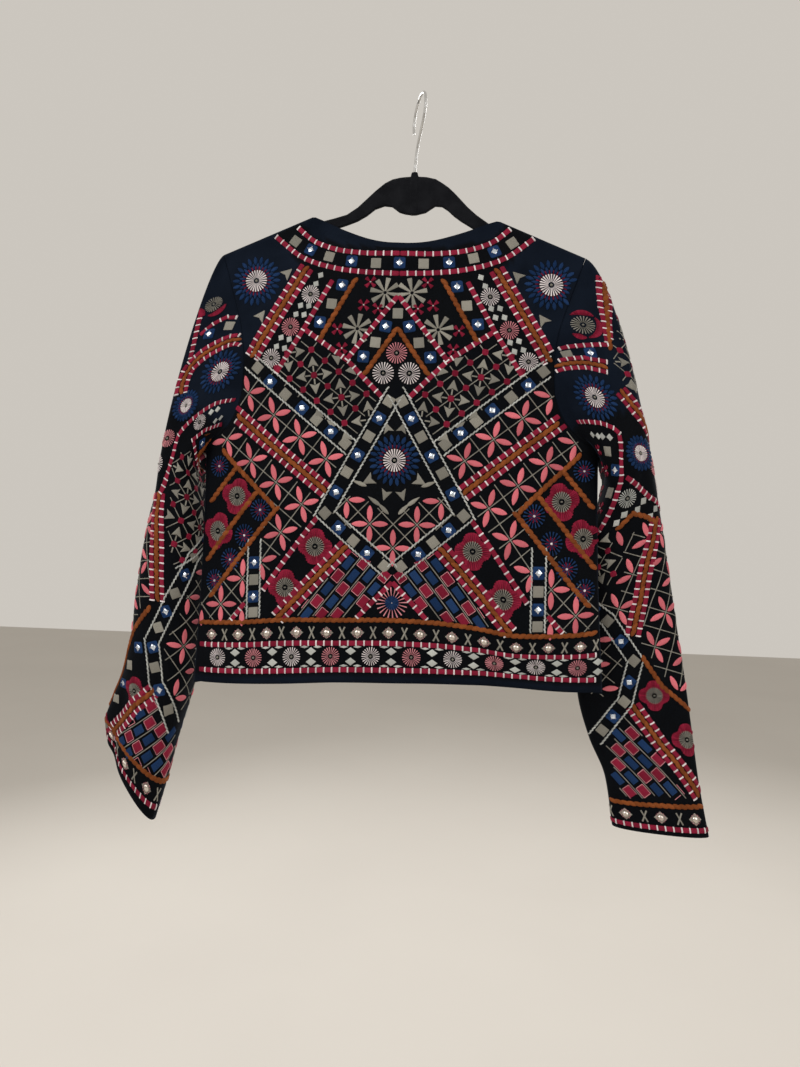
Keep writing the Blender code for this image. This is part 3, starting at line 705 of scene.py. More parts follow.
def sleeve_section(
    table: tuple[SleeveRow, ...], pleats: tuple[Pleat, ...], hand: Hand, z: float, turns: np.ndarray
) -> np.ndarray:
    """Points of a sleeve's cross-section.

    Args:
        table: The sleeve's cross-sections.
        pleats: The troughs down the sleeve.
        hand: The sleeve's side.
        z: The height of the section.
        turns: Where round the sleeve: 0 at its outer side, 0.5 at the back, 1 inside.

    Returns:
        The section's points in space.
    """
    heights = [row.z for row in table]
    outer, inner, middle, depth, cant = (
        smooth_through(heights, [getattr(row, column) for row in table], z)
        for column in ("outer", "inner", "middle_y", "half_depth", "cant")
    )
    angle = turns * math.pi
    flat = 2.0 / SLEEVE_FLATNESS
    reach = np.sign(np.cos(angle)) * np.abs(np.cos(angle)) ** flat
    swing = np.sign(np.sin(angle)) * np.abs(np.sin(angle)) ** flat
    sink = np.zeros_like(turns)
    for pleat in pleats:
        length = pleat.top - pleat.bottom
        steep = PLEAT_END_STEEPNESS / length
        run = ease(steep * (pleat.top - z)) * ease(steep * (z - pleat.bottom))
        turn = pleat.turn + pleat.drift * (pleat.top - z) / length
        sink = sink + pleat.depth * run * bell(turns - turn, pleat.width)
    u = 0.5 * (outer + inner) + 0.5 * (outer - inner) * reach - sink * np.cos(angle)
    y = middle - depth * swing + sink * np.sin(angle)
    return np.stack([JACKET_X + hand.value * u, y, z + 0.5 * cant * reach], axis=-1)


class Shell:
    """A thin shell of cloth between an outer and an inner grid of points."""

    def __init__(self, name: str, outer: np.ndarray, inner: np.ndarray, flat: np.ndarray, ring: bool):
        """Keeps the two grids.

        Args:
            name: The piece's name.
            outer: The grid that faces outwards.
            inner: The grid that faces the wearer.
            flat: The grid's flat places, for the cloth's UV map.
            ring: Whether the columns close on themselves.
        """
        self.name = name
        self.outer = outer
        self.inner = inner
        self.flat = flat
        self.ring = ring

    def build(self, dark: np.ndarray) -> bpy.types.Object:
        """Makes the shell's mesh.

        Args:
            dark: How much of the closely worked black ground shows at each point of the grid.

        Returns:
            The shell's object, without a material.
        """
        rows, columns = self.outer.shape[:2]
        points = np.concatenate([self.outer.reshape(-1, 3), self.inner.reshape(-1, 3)])
        number = np.arange(rows * columns).reshape(rows, columns)
        shift = rows * columns
        last = columns if self.ring else columns - 1
        faces: list[tuple[int, ...]] = []
        for i in range(rows - 1):
            for j in range(last):
                k = (j + 1) % columns
                face = (number[i, j], number[i + 1, j], number[i + 1, k], number[i, k])
                faces.append(face)
                faces.append(tuple(place + shift for place in reversed(face)))
        rims = [[number[0, j % columns] for j in range(last + 1)][::-1]]
        rims.append([number[-1, j % columns] for j in range(last + 1)])
        if not self.ring:
            rims.append(list(number[:, 0]))
            rims.append(list(number[:, -1])[::-1])
        for rim in rims:
            faces.extend((b, a, a + shift, b + shift) for a, b in zip(rim, rim[1:]))
        mesh = bpy.data.meshes.new(self.name)
        mesh.from_pydata(points.tolist(), [], [[int(place) for place in face] for face in faces])
        mesh.shade_smooth()
        self._add_maps(mesh, dark)
        thing = bpy.data.objects.new(self.name, mesh)
        bpy.context.scene.collection.objects.link(thing)
        return thing

    def _add_maps(self, mesh: bpy.types.Mesh, dark: np.ndarray) -> None:
        """Writes the flat places as the UV map, and the black ground as an attribute, which is nothing on
        the inner side.
        """
        places = np.concatenate([self.flat.reshape(-1, 2), self.flat.reshape(-1, 2)])
        corners = np.empty(len(mesh.loops), np.int32)
        mesh.loops.foreach_get("vertex_index", corners)
        layer = mesh.uv_layers.new(name="UVMap")
        layer.data.foreach_set("uv", places[corners].astype(np.float32).ravel())
        ground = np.concatenate([dark.ravel(), np.zeros(dark.size)])
        shade = mesh.attributes.new("ground", "FLOAT", "POINT")
        shade.data.foreach_set("value", ground.astype(np.float32))


class Panel:
    """The back or a front: a flat panel draped over the hanger."""

    def __init__(self, name: str, face: Face, hand: Hand | None = None):
        """Cuts and drapes the panel.

        Args:
            name: The piece's name.
            face: The back or the front.
            hand: The side of a front; the back has none.
        """
        self.name = name
        self.face = face
        self.hand = hand
        self.hem_z = HEM_Z if face is Face.BACK else FRONT_HEM_Z
        self.places, on_shoulder = self._back_grid() if hand is None else self._front_grid(hand)
        self.outer = draped(self.places[..., 0], self.places[..., 1], face)
        self.normals = normals_of(self.outer)
        middle = self.normals[len(self.places) // 2, self.places.shape[1] // 2, 1]
        if face.value * middle < 0:
            self.normals = -self.normals
        if hand is None:
            level_normals(self.normals, 0, on_shoulder)
            level_side(self.normals, 0, Hand.LEFT)
            level_side(self.normals, -1, Hand.RIGHT)
        else:
            level_side(self.normals, -1, hand)
            level_normals(self.normals, 0, on_shoulder)

    @staticmethod
    def _back_grid() -> tuple[np.ndarray, np.ndarray]:
        """The back's flat places, and which of its top points are on a shoulder."""
        spread = spread_out(BACK_COLUMNS, 0.40)
        across = SHOULDER_HALF_WIDTH * (2.0 * spread - 1.0)
        top, on_shoulder = top_line(across, BACK_NECK_Z, BACK_NECK_ROUNDNESS)
        left = side_line(BACK_ARMHOLE, Hand.LEFT, HEM_Z)
        right = side_line(BACK_ARMHOLE, Hand.RIGHT, HEM_Z)
        hem_u = right[-1, 0] * (2.0 * spread - 1.0)
        bottom = np.stack([hem_u, np.full_like(hem_u, HEM_Z)], axis=-1)
        return filled_between(top, bottom, left, right), on_shoulder

    @staticmethod
    def _front_grid(hand: Hand) -> tuple[np.ndarray, np.ndarray]:
        """A front's flat places, from its centre edge to its side seam."""
        edge = FRONT_EDGE_U + hand.value * FRONT_EDGE_GAP / 2
        even = np.linspace(0.0, 1.0, FRONT_COLUMNS + 1)
        spread = 0.6 * np.sin(even * math.pi / 2) + 0.4 * even
        top_u = edge + (hand.value * SHOULDER_HALF_WIDTH - edge) * spread
        top, on_shoulder = top_line(top_u, FRONT_NECK_Z, FRONT_NECK_ROUNDNESS)
        side = side_line(FRONT_ARMHOLE, hand, FRONT_HEM_Z)
        share = (side[:, 1] - side[0, 1]) / (side[-1, 1] - side[0, 1])
        centre_z = top[0, 1] + (FRONT_HEM_Z - top[0, 1]) * share
        centre = np.stack([np.full_like(centre_z, edge), centre_z], axis=-1)
        hem_u = edge + (side[-1, 0] - edge) * spread
        bottom = np.stack([hem_u, np.full_like(hem_u, FRONT_HEM_Z)], axis=-1)
        return filled_between(top, bottom, centre, side), on_shoulder

    def armhole(self, hand: Hand) -> tuple[np.ndarray, np.ndarray, np.ndarray]:
        """The armhole edge for a sleeve.

        Args:
            hand: Which side's armhole.

        Returns:
            The edge's points, their normals, and the points one column inside it.
        """
        rows = slice(0, UNDERARM_ROW + 1)
        first = self.hand is None and hand is Hand.LEFT
        edge, near = (0, 1) if first else (-1, -2)
        return self.outer[rows, edge], self.normals[rows, edge], self.outer[rows, near]

    def shell(self) -> Shell:
        """The panel as a thin shell with a turned hem."""
        depth = wall_depth(self.places[..., 1] - self.hem_z)[..., None]
        outer, inner, flat = self.outer, self.outer - self.normals * depth, self.places
        if self.face.value * (1 if self.hand is None else self.hand.value) > 0:
            outer, inner, flat = outer[:, ::-1], inner[:, ::-1], flat[:, ::-1]
        return Shell(self.name, outer, inner, flat, ring=False)

    def outline(self, inset: float) -> Flat:
        """The panel's edge on the flat cloth, drawn in towards its middle."""
        grid = self.places
        edge = np.concatenate([grid[0], grid[1:, -1], grid[-1, ::-1][1:], grid[::-1, 0][1:]])
        ahead = np.roll(edge, -1, axis=0) - np.roll(edge, 1, axis=0)
        across = np.stack([-ahead[:, 1], ahead[:, 0]], axis=-1)
        across /= np.maximum(np.linalg.norm(across, axis=1, keepdims=True), 1e-9)
        middle = grid[len(grid) // 2, grid.shape[1] // 2]
        centre = np.sign(np.einsum("ij,ij->i", across, middle - edge).sum()) or 1.0
        return [tuple(place) for place in edge + across * inset * centre]

    def worked(self, places: np.ndarray) -> tuple[np.ndarray, np.ndarray]:
        """Points and outward normals of the cloth at flat places."""
        step = NORMAL_STEP
        u, z = places[:, 0], places[:, 1]
        point = draped(u, z, self.face)
        across = draped(u + step, z, self.face) - draped(u - step, z, self.face)
        up = draped(u, z + step, self.face) - draped(u, z - step, self.face)
        normal = np.cross(across, up) * -self.face.value
        return point, normal / np.linalg.norm(normal, axis=1, keepdims=True)

    def on_cloth(self, places: np.ndarray, inset: float) -> np.ndarray:
        """Which flat places are on the panel, at least the inset from its edges."""
        return inside(self.outline(inset), places)

    def neck_path(self) -> np.ndarray:
        """A front's open edge on the right side's flat cloth, from its neck point down to its hem."""
        top = self.places[0]
        neck = top[np.abs(top[:, 0] - NECK_SHIFT) < NECK_HALF_WIDTH + 1e-4]
        edge = np.concatenate([neck[::-1], self.places[1:, 0]])
        return edge * (self.hand.value, 1.0)

    def dark(self, flat: np.ndarray) -> np.ndarray:
        """Where the ground is black: in the embroidered part, not on the plain shoulders and hem."""
        places = flat.reshape(-1, 2) - (CENTRE_U, 0.0)
        places = np.stack([np.abs(places[:, 0]), places[:, 1]], axis=-1)
        return inside(BLACK_PART, places).astype(float).reshape(flat.shape[:2])


class Sleeve:
    """A sleeve: its cap fans out of the armhole, and its tube hangs to the cuff.

    Its flat places are the distance round it from the middle of its back, towards the body, and a
    height, which is the real one down the tube and goes on up the cap.
    """

    def __init__(
        self,
        name: str,
        hand: Hand,
        table: tuple[SleeveRow, ...],
        pleats: tuple[Pleat, ...],
        cap_reach: float,
        back: Panel,
        front: Panel,
    ):
        """Shapes the sleeve between its armhole and its cuff.

        Args:
            name: The piece's name.
            hand: The side it is on.
            table: Its cross-sections.
            pleats: Its troughs.
            cap_reach: How far the cap keeps its direction out of the armhole.
            back: The back panel.
            front: The front panel on this side.
        """
        self.name = name
        self.hand = hand
        points, normals, outward = self._ring(back.armhole(hand), front.armhole(hand))
        count = len(points)
        turns = np.arange(count) * 2.0 / count
        self.heights = np.linspace(table[0].z, table[-1].z, SLEEVE_ROWS + 1)
        tube = np.array([sleeve_section(table, pleats, hand, z, turns) for z in self.heights])
        seam = points + outward * SEAM_GAP
        span = np.linalg.norm(tube[0] - seam, axis=-1, keepdims=True)
        below = np.abs(1.0 - turns)[:, None]
        reach = cap_reach + (UNDERARM_REACH - cap_reach) * ease(1.0 - below / UNDERARM_SPREAD)
        leaving = outward * (reach * span)
        hanging = tube[1] - tube[0]
        arriving = hanging / np.linalg.norm(hanging, axis=-1, keepdims=True) * (CAP_HANG * span)
        shares = np.linspace(0.0, 1.0, CAP_ROWS + 1)[:-1]
        cap = np.array([hermite(seam, leaving, tube[0], arriving, share) for share in shares])
        self.outer = np.concatenate([cap, tube])
        self.normals = normals_of(self.outer, closed=True)
        centre = self.outer.mean(axis=1, keepdims=True)
        row = CAP_ROWS + SLEEVE_ROWS // 2
        if np.einsum("ij,ij->i", self.normals[row], self.outer[row] - centre[row]).sum() < 0:
            self.normals = -self.normals
        self.normals[0] = normals
        self._measure()

    @staticmethod
    def _ring(
        back_edge: tuple[np.ndarray, ...], front_edge: tuple[np.ndarray, ...]
    ) -> tuple[np.ndarray, np.ndarray, np.ndarray]:
        """The armhole as one ring: shoulder, down the back, underarm, and up the front."""
        ring = []
        for back_part, front_part in zip(back_edge, front_edge):
            top = 0.5 * (back_part[:1] + front_part[:1])
            base = 0.5 * (back_part[-1:] + front_part[-1:])
            ring.append(np.concatenate([top, back_part[1:-1], base, front_part[1:-1][::-1]]))
        points, normals, near = ring
        normals = normals / np.linalg.norm(normals, axis=-1, keepdims=True)
        along = np.roll(points, -1, axis=0) - np.roll(points, 1, axis=0)
        outward = np.cross(normals, along)
        outward /= np.linalg.norm(outward, axis=-1, keepdims=True)
        outward[np.einsum("ij,ij->i", outward, points - near) < 0] *= -1
        return points, normals, outward

    def _measure(self) -> None:
        """Works out the flat place of each point, and the way to the cuff."""
        steps = np.linalg.norm(np.diff(self.outer, axis=0), axis=-1)
        columns = self.outer.shape[1]
        length = np.concatenate([np.zeros((1, columns)), np.cumsum(steps, axis=0)])
        self.to_cuff = length[-1] - length
        cap_z = self.heights[0] + (length[CAP_ROWS] - length[:CAP_ROWS])
        tube_z = np.repeat(self.heights[:, None], columns, axis=1)
        self.flat_z = np.concatenate([cap_z, tube_z])
        around = np.linalg.norm(np.roll(self.outer, -1, axis=1) - self.outer, axis=-1)
        arc = np.concatenate([np.zeros((len(around), 1)), np.cumsum(around, axis=1)], axis=1)
        back_middle = (columns - 2) // 4
        middle = 0.5 * (arc[:, back_middle] + arc[:, back_middle + 1])
        self.arc = arc - middle[:, None]
        self._chart()

    def _chart(self) -> None:
        """Lays the sleeve's points, normals and rows out on an even grid of flat places."""
        self.chart_w = np.arange(-CHART_REACH, CHART_REACH + 0.0001, CHART_STEP)
        self.chart_v = np.arange(CHART_TOP, self.heights[-1] - CHART_PAST_CUFF, -CHART_STEP)
        levels = []
        row = np.full(len(self.chart_w), 0.4 * CAP_ROWS)
        for v in self.chart_v:
            on_cap = v > self.heights[0] - 0.01
            for _ in range(CAP_CHART_ROUNDS if on_cap else TUBE_CHART_ROUNDS):
                column = self._column(row, self.chart_w)
                row = self._row(column, v)
            levels.append(np.stack([row, column], axis=-1))
        place = np.array(levels)
        rows = np.clip(place[..., 0], 0.0, len(self.outer) - 1.001)
        columns = self.outer.shape[1]
        i, j = rows.astype(int), place[..., 1].astype(int) % columns
        k = (j + 1) % columns
        s, t = (rows - i)[..., None], (place[..., 1] - np.floor(place[..., 1]))[..., None]
        read = []
        for grid in (self.outer, self.normals):
            upper = (1 - t) * grid[i, j] + t * grid[i, k]
            lower = (1 - t) * grid[i + 1, j] + t * grid[i + 1, k]
            read.append((1 - s) * upper + s * lower)
        self.chart = np.concatenate([*read, place[..., :1]], axis=-1)

    def _column(self, row: np.ndarray, w: np.ndarray) -> np.ndarray:
        """The grid's columns at distances round it, on given rows."""
        row = np.clip(row, 0.0, len(self.arc) - 1.001)
        i = row.astype(int)
        s = (row - i)[:, None]
        arc = (1 - s) * self.arc[i] + s * self.arc[i + 1]
        girth = arc[:, -1] - arc[:, 0]
        target = arc[:, 0] + (w - arc[:, 0]) % girth
        left = np.clip((arc <= target[:, None]).sum(axis=1) - 1, 0, arc.shape[1] - 2)
        at = np.arange(len(w))
        return left + (target - arc[at, left]) / (arc[at, left + 1] - arc[at, left])

    def _row(self, column: np.ndarray, v: float) -> np.ndarray:
        """The grid's rows at a flat height, on given columns; past either end they run on."""
        columns = self.outer.shape[1]
        left = column.astype(int) % columns
        share = column - np.floor(column)
        z = (1 - share) * self.flat_z[:, left] + share * self.flat_z[:, (left + 1) % columns]
        above = np.clip((z > v).sum(axis=0) - 1, 0, len(z) - 2)
        at = np.arange(len(column))
        return above + (z[above, at] - v) / (z[above, at] - z[above + 1, at])

    def shell(self) -> Shell:
        """The sleeve as a thin shell with a turned cuff."""
        inner = self.outer - self.normals * wall_depth(self.to_cuff)[..., None]
        outer, flat = self.outer, np.stack([self.arc[:, :-1], self.flat_z], axis=-1)
        if self.hand is Hand.RIGHT:
            outer, inner, flat = outer[:, ::-1], inner[:, ::-1], flat[:, ::-1]
        return Shell(self.name, outer, inner, flat, ring=True)

    def charted(self, places: np.ndarray) -> np.ndarray:
        """Point, normal and row at flat places, read from the chart."""
        w = np.clip((places[:, 0] - self.chart_w[0]) / CHART_STEP, 0, len(self.chart_w) - 1.001)
        v = np.clip((self.chart_v[0] - places[:, 1]) / CHART_STEP, 0, len(self.chart_v) - 1.001)
        i, j = v.astype(int), w.astype(int)
        s, t = (v - i)[:, None], (w - j)[:, None]
        upper = (1 - t) * self.chart[i, j] + t * self.chart[i, j + 1]
        lower = (1 - t) * self.chart[i + 1, j] + t * self.chart[i + 1, j + 1]
        return (1 - s) * upper + s * lower

    def worked(self, places: np.ndarray) -> tuple[np.ndarray, np.ndarray]:
        """Points and outward normals of the cloth at flat places."""
        read = self.charted(places)
        normal = read[:, 3:6]
        return read[:, :3], normal / np.linalg.norm(normal, axis=1, keepdims=True)

    def on_cloth(self, places: np.ndarray, inset: float) -> np.ndarray:
        """Which flat places are on the sleeve, at least the inset from its seam and cuff."""
        row = self.charted(places)[:, 6]
        rows = inset / ROW_SPACING
        return (row > rows) & (row < len(self.outer) - 1 - rows)

    def both_halves(self, pattern: Pattern) -> Pattern:
        """A pattern of the back half, cut to it, with its mirror image on the front half."""
        rows_at = np.arange(len(self.arc))
        middle = 0.5 * (self.arc[:, 0] + self.arc[:, -1])

        def change(batch: np.ndarray) -> np.ndarray:
            """One batch's rows on both halves."""
            row = np.clip(self.charted(batch[:, 1:3])[:, 6], 0, len(self.arc) - 1)
            outer_w = np.interp(row, rows_at, self.arc[:, 0])
            inner_w = np.interp(row, rows_at, middle)
            kept = (batch[:, 1] > outer_w + HALF_INSET) & (batch[:, 1] < inner_w - HALF_INSET)
            return np.concatenate([batch[kept], mirror_image(batch[kept], outer_w[kept])])

        return pattern.changed(change)

    def dark(self, flat: np.ndarray) -> np.ndarray:
        """Where the ground is black: below the navy cap."""
        return ease((DARK_SLEEVE_Z - flat[..., 1]) / 0.004)


def mirror_image(rows: np.ndarray, line: np.ndarray | float) -> np.ndarray:
    """Rows of stitches mirrored about an upright line, or about one for each row."""
    out = rows.copy()
    out[:, 1] = 2.0 * line - rows[:, 1]
    out[:, 3] = math.pi - rows[:, 3]
    return out


@dataclass
class Pattern:
    """Stitches laid out on flat cloth, waiting to be worked.

    Attributes:
        seed: The seed of the thread's small changes of shade.
        rows: For each thread, batches of rows of motif, x, y, angle, length and width.
    """

    seed: int = 5
    rows: dict[Thread, list[np.ndarray]] = field(default_factory=dict)

    def lay(
        self,
        thread: Thread,
        motif: Motif,
        places: np.ndarray | Flat | Place,
        angle: np.ndarray | float = 0.0,
        length: np.ndarray | float = 1.0,
        width: np.ndarray | float = 1.0,
    ) -> None:
        """Lays a motif at each of some places.

        Args:
            thread: The thread it is worked in.
            motif: Its shape.
            places: Flat places, one or more.
            angle: Which way it points, anticlockwise from +X.
            length: Its length as a share of the motif's own.
            width: Its width as a share of the motif's own.
        """
        places = np.atleast_2d(np.asarray(places, float))
        rows = np.zeros((len(places), 6))
        rows[:, 0] = motif.value
        rows[:, 1:3] = places
        for column, value in ((3, angle), (4, length), (5, width)):
            rows[:, column] = value
        self.rows.setdefault(thread, []).append(rows)

    def add(self, other: Pattern) -> None:
        """Adds another pattern's stitches."""
        for thread, batches in other.rows.items():
            self.rows.setdefault(thread, []).extend(batches)

    def changed(self, change: Callable[[np.ndarray], np.ndarray]) -> Pattern:
        """A new pattern with each batch of rows changed; a batch that loses all its rows is left out."""
        out = Pattern(self.seed)
        for thread, batches in self.rows.items():
            made = [rows for rows in map(change, batches) if len(rows)]
            if made:
                out.rows[thread] = made
        return out

    def mirrored(self, line: float) -> Pattern:
        """The pattern's mirror image about an upright line."""
        return self.changed(lambda rows: mirror_image(rows, line))

    def moved(self, x: float) -> Pattern:
        """The same pattern, moved across the cloth."""
        return self.changed(lambda rows: rows + (0.0, x, 0.0, 0.0, 0.0, 0.0))

    def kept(self, polygon: Flat) -> Pattern:
        """The stitches whose middles lie in a polygon."""
        return self.changed(lambda rows: rows[inside(polygon, rows[:, 1:3])])


def mm(*places: Place) -> Flat:
    """Flat places given in millimetres."""
    return tuple((x / 1000.0, y / 1000.0) for x, y in places)


def axes(angle: float) -> tuple[np.ndarray, np.ndarray]:
    """The unit vectors along a direction and to its left."""
    along = np.array([math.cos(angle), math.sin(angle)])
    return along, np.array([-along[1], along[0]])


def walk(path: Flat | np.ndarray, pitch: float, offset: float = 0.0) -> tuple[np.ndarray, np.ndarray]:
    """Evenly spaced places along a path.

    Args:
        path: The path's points.
        pitch: About how far apart the places are; the path's length is shared out evenly.
        offset: How far to the left of the path they lie.

    Returns:
        The middles of the steps, and which way the path runs at each.
    """
    path = np.asarray(path, float)
    steps = np.diff(path, axis=0)
    length = lengths(path)
    count = max(1, round(length[-1] / pitch))
    at = (np.arange(count) + 0.5) * length[-1] / count
    places = np.stack([np.interp(at, length, path[:, 0]), np.interp(at, length, path[:, 1])], axis=-1)
    piece = np.clip(np.searchsorted(length, at) - 1, 0, len(steps) - 1)
    angle = np.arctan2(steps[piece, 1], steps[piece, 0])
    places = places + offset * np.stack([-np.sin(angle), np.cos(angle)], axis=-1)
    return places, angle


def rounded(path: Flat, spacing: float = 0.004) -> np.ndarray:
    """A smooth path through a few points."""
    path = np.asarray(path, float)
    length = lengths(path)
    at = np.linspace(0.0, length[-1], max(2, int(length[-1] / spacing)))
    slopes = np.gradient(path, length, axis=0)
    row = np.clip(np.searchsorted(length, at) - 1, 0, len(path) - 2)
    step = (length[row + 1] - length[row])[:, None]
    t = (at - length[row])[:, None] / step
    return hermite(path[row], slopes[row] * step, path[row + 1], slopes[row + 1] * step, t)


def shifted(path: Flat | np.ndarray, offset: float) -> np.ndarray:
    """A path moved to its left by an offset, with its corners kept."""
    path = np.asarray(path, float)
    steps = np.diff(path, axis=0)
    steps /= np.linalg.norm(steps, axis=1, keepdims=True)
    sides = np.stack([-steps[:, 1], steps[:, 0]], axis=-1)
    before = np.concatenate([sides[:1], sides])
    after = np.concatenate([sides, sides[-1:]])
    both = before + after
    both /= np.maximum((both * before).sum(axis=1, keepdims=True), 0.35)
    return path + offset * both


SPOKE_LENGTHS = {Motif.SPOKE: 0.006, Motif.PETAL: 0.019, Motif.BLADE: 0.012}


@dataclass(frozen=True)
class Stitcher:
    """The maker's stock of borders and flowers, each laid onto a pattern in real sizes.

    Attributes:
        pattern: The pattern that the stitches are laid on.
        bar_pitch: How far apart the bars of a red and white line are.
        link_pitch: How far apart the twists of a cord are.
        twist_pitch: How far apart the stitches of a twisted line are.
        line_pitch: How far apart the stitches of a thin line are.
        triple_gap: How far the outer lines of a triple border are from its cord.
        link_lean: How far the twists of a cord lean.
        twist_lean: How far the stitches of a twisted line lean.
    """

    pattern: Pattern
    bar_pitch: float = 0.0094
    link_pitch: float = 0.0074
    twist_pitch: float = 0.0050
    line_pitch: float = 0.0056
    triple_gap: float = 0.0066
    link_lean: float = 0.30
    twist_lean: float = 0.22

    def red_white(self, path: Flat | np.ndarray, offset: float = 0.0) -> None:
        """A crimson satin line, tied down by a white bar at every step."""
        places, angle = walk(path, self.bar_pitch, offset)
        self.pattern.lay(Thread.CRIMSON, Motif.BLOCK, places, angle)
        half = 0.5 * self.bar_pitch * np.stack([np.cos(angle), np.sin(angle)], axis=-1)
        self.pattern.lay(Thread.IVORY, Motif.BAR, places + half, angle + math.pi / 2)

    def cable(self, path: Flat | np.ndarray) -> None:
        """A thick orange cord of leaning twists."""
        places, angle = walk(path, self.link_pitch)
        self.pattern.lay(Thread.ORANGE, Motif.LINK, places, angle + self.link_lean)

    def triple(self, path: Flat | np.ndarray) -> None:
        """An orange cord between two red and white lines."""
        self.red_white(path, self.triple_gap)
        self.cable(path)
        self.red_white(path, -self.triple_gap)

    def rope(self, path: Flat | np.ndarray, offset: float = 0.0) -> None:
        """A twisted pale line."""
        places, angle = walk(path, self.twist_pitch, offset)
        self.pattern.lay(Thread.MINT, Motif.TWIST, places, angle + self.twist_lean)

    def ropes(self, path: Flat, half: float) -> None:
        """A twisted pale line on each side of a band, half its width from its middle."""
        for offset in (-half, half):
            self.rope(shifted(path, offset))

    def line(self, path: Flat | np.ndarray) -> None:
        """A thin grey line of running stitches."""
        places, angle = walk(path, self.line_pitch)
        self.pattern.lay(Thread.GREY, Motif.LINE, places, angle)

    def lattice(self, origin: Place, axis: float, spacing: float, count: int, half: float) -> None:
        """Thin grey lines both ways across a field.

        Args:
            origin: A place where two lines cross.
            axis: Which way the first ones run.
            spacing: How far apart they are.
            count: How many there are on each side of the origin.
            half: Half the length of each.
        """
        along, aside = axes(axis)
        for way, step in ((along, aside), (aside, along)):
            for i in range(-count, count + 1):
                middle = np.array(origin) + spacing * i * step
                self.line(np.stack([middle - half * way, middle + half * way]))

    def grey_square(self, place: Place, angle: float = 0.0) -> None:
        """A satin square."""
        self.pattern.lay(Thread.GREY, Motif.SQUARE, place, angle)

    def mirror(self, place: Place, angle: float = 0.0) -> None:
        """A small mirror, set on its point in a square blue frame."""
        self.pattern.lay(Thread.MIRROR, Motif.PLATE, place, angle + math.pi / 4)
        for k in range(4):
            turn = angle + k * math.pi / 2
            way, _ = axes(turn)
            self.pattern.lay(Thread.BLUE, Motif.BLOCK, place + 0.0046 * way, turn + math.pi / 2, 1.40, 0.78)
            self.pattern.lay(Thread.IVORY, Motif.KNOT, place + 0.0036 * way, turn + math.pi / 4, 0.42, 0.42)

    def square_row(self, places: Flat, mirrors_first: bool, angles: list[float]) -> None:
        """Grey squares and mirrors in turn.

        Args:
            places: Where they are.
            mirrors_first: Whether the first is a mirror.
            angles: Which way each is turned.
        """
        for k, (place, angle) in enumerate(zip(places, angles)):
            if (k % 2 == 0) == mirrors_first:
                self.mirror(place, angle)
            else:
                self.grey_square(place, angle)

    def spokes(
        self,
        thread: Thread,
        place: Place,
        inner: float,
        outer: float,
        count: int,
        width: float = 1.0,
        motif: Motif = Motif.SPOKE,
        turn: float = 0.0,
        lobes: float = 0.0,
    ) -> None:
        """A ring of stitches that point outwards.

        Args:
            thread: The thread.
            place: The ring's middle.
            inner: Where the stitches start.
            outer: Where they end.
            count: How many there are.
            width: Their width as a share of the motif's own.
            motif: Their shape.
            turn: The first one's direction.
            lobes: How much shorter the ones between four lobes are.
        """
        angle = turn + np.arange(count) * 2 * math.pi / count
        reach = outer - lobes * (0.5 - 0.5 * np.cos(4 * (angle - turn))) ** 2
        middle = 0.5 * (inner + reach)
        x = place[0] + middle * np.cos(angle)
        y = place[1] + middle * np.sin(angle)
        own = SPOKE_LENGTHS[motif]
        self.pattern.lay(thread, motif, np.stack([x, y], axis=-1), angle, (reach - inner) / own, width)

    def rosette(self, place: Place, thread: Thread, radius: float = 0.0118) -> None:
        """A buttonhole wheel with a knot at its middle."""
        self.spokes(thread, place, 0.28 * radius, radius, 22, 0.70 * radius / 0.0118)
        self.pattern.lay(Thread.GREY, Motif.KNOT, place, 0.0, 0.75, 0.75)

    def daisy(self, place: Place, radius: float = 0.0285) -> None:
        """A blue daisy with a crimson ring and a white wheel."""
        self.spokes(Thread.BLUE, place, 0.68 * radius, 1.02 * radius, 22, 0.66, Motif.PETAL)
        self.spokes(Thread.BLUE, place, 0.46 * radius, 0.76 * radius, 22, 0.52, Motif.PETAL, math.pi / 22)
        self.spokes(Thread.CRIMSON, place, 0.42 * radius, 0.60 * radius, 22, 0.66)
        self.spokes(Thread.IVORY, place, 0.12 * radius, 0.45 * radius, 24, 0.94)
        self.pattern.lay(Thread.GREY, Motif.KNOT, place, 0.0, 0.9, 0.9)

    def crimson_wheel(self, place: Place, turn: float = 0.0, radius: float = 0.0205) -> None:
        """A grey wheel in a crimson flower with four broad lobes."""
        size = radius / 0.0205
        crimson, lobes = Thread.CRIMSON, 0.24 * radius
        self.spokes(crimson, place, 0.50 * radius, radius, 44, 1.62 * size, turn=turn, lobes=lobes)
        self.spokes(Thread.GREY, place, 0.17 * radius, 0.56 * radius, 24, 0.80 * size)
        self.pattern.lay(Thread.GREY, Motif.KNOT, place, 0.0, 0.8, 0.5)

    def crescent(self, place: Place, radius: float, start: float, end: float) -> None:
        """A crimson crescent of satin stitches round part of a wheel.

        Args:
            place: The wheel's middle.
            radius: How far the crescent's middle line is from it.
            start: The angle at which the crescent starts.
            end: The angle at which it ends.
        """
        count = max(6, round(abs(end - start) * radius / 0.0011))
        for step in range(count):
            share = (step + 0.5) / count
            angle = start + (end - start) * share
            length = 0.30 + 0.95 * math.sin(math.pi * share)
            self.pattern.lay(Thread.CRIMSON, Motif.SPOKE, place + radius * axes(angle)[0], angle, length)

    def dark_flower(self, place: Place) -> None:
        """A small blue flower with a crimson eye and a white dot."""
        self.spokes(Thread.BLUE, place, 0.0070, 0.0125, 18, 1.10)
        self.spokes(Thread.BLUE, place, 0.00125, 0.00625, 9)
        self.spokes(Thread.CRIMSON, place, 0.0015, 0.00725, 9, 0.72, turn=0.35)
        self.pattern.lay(Thread.IVORY, Motif.KNOT, place, 0.0, 0.8, 0.8)

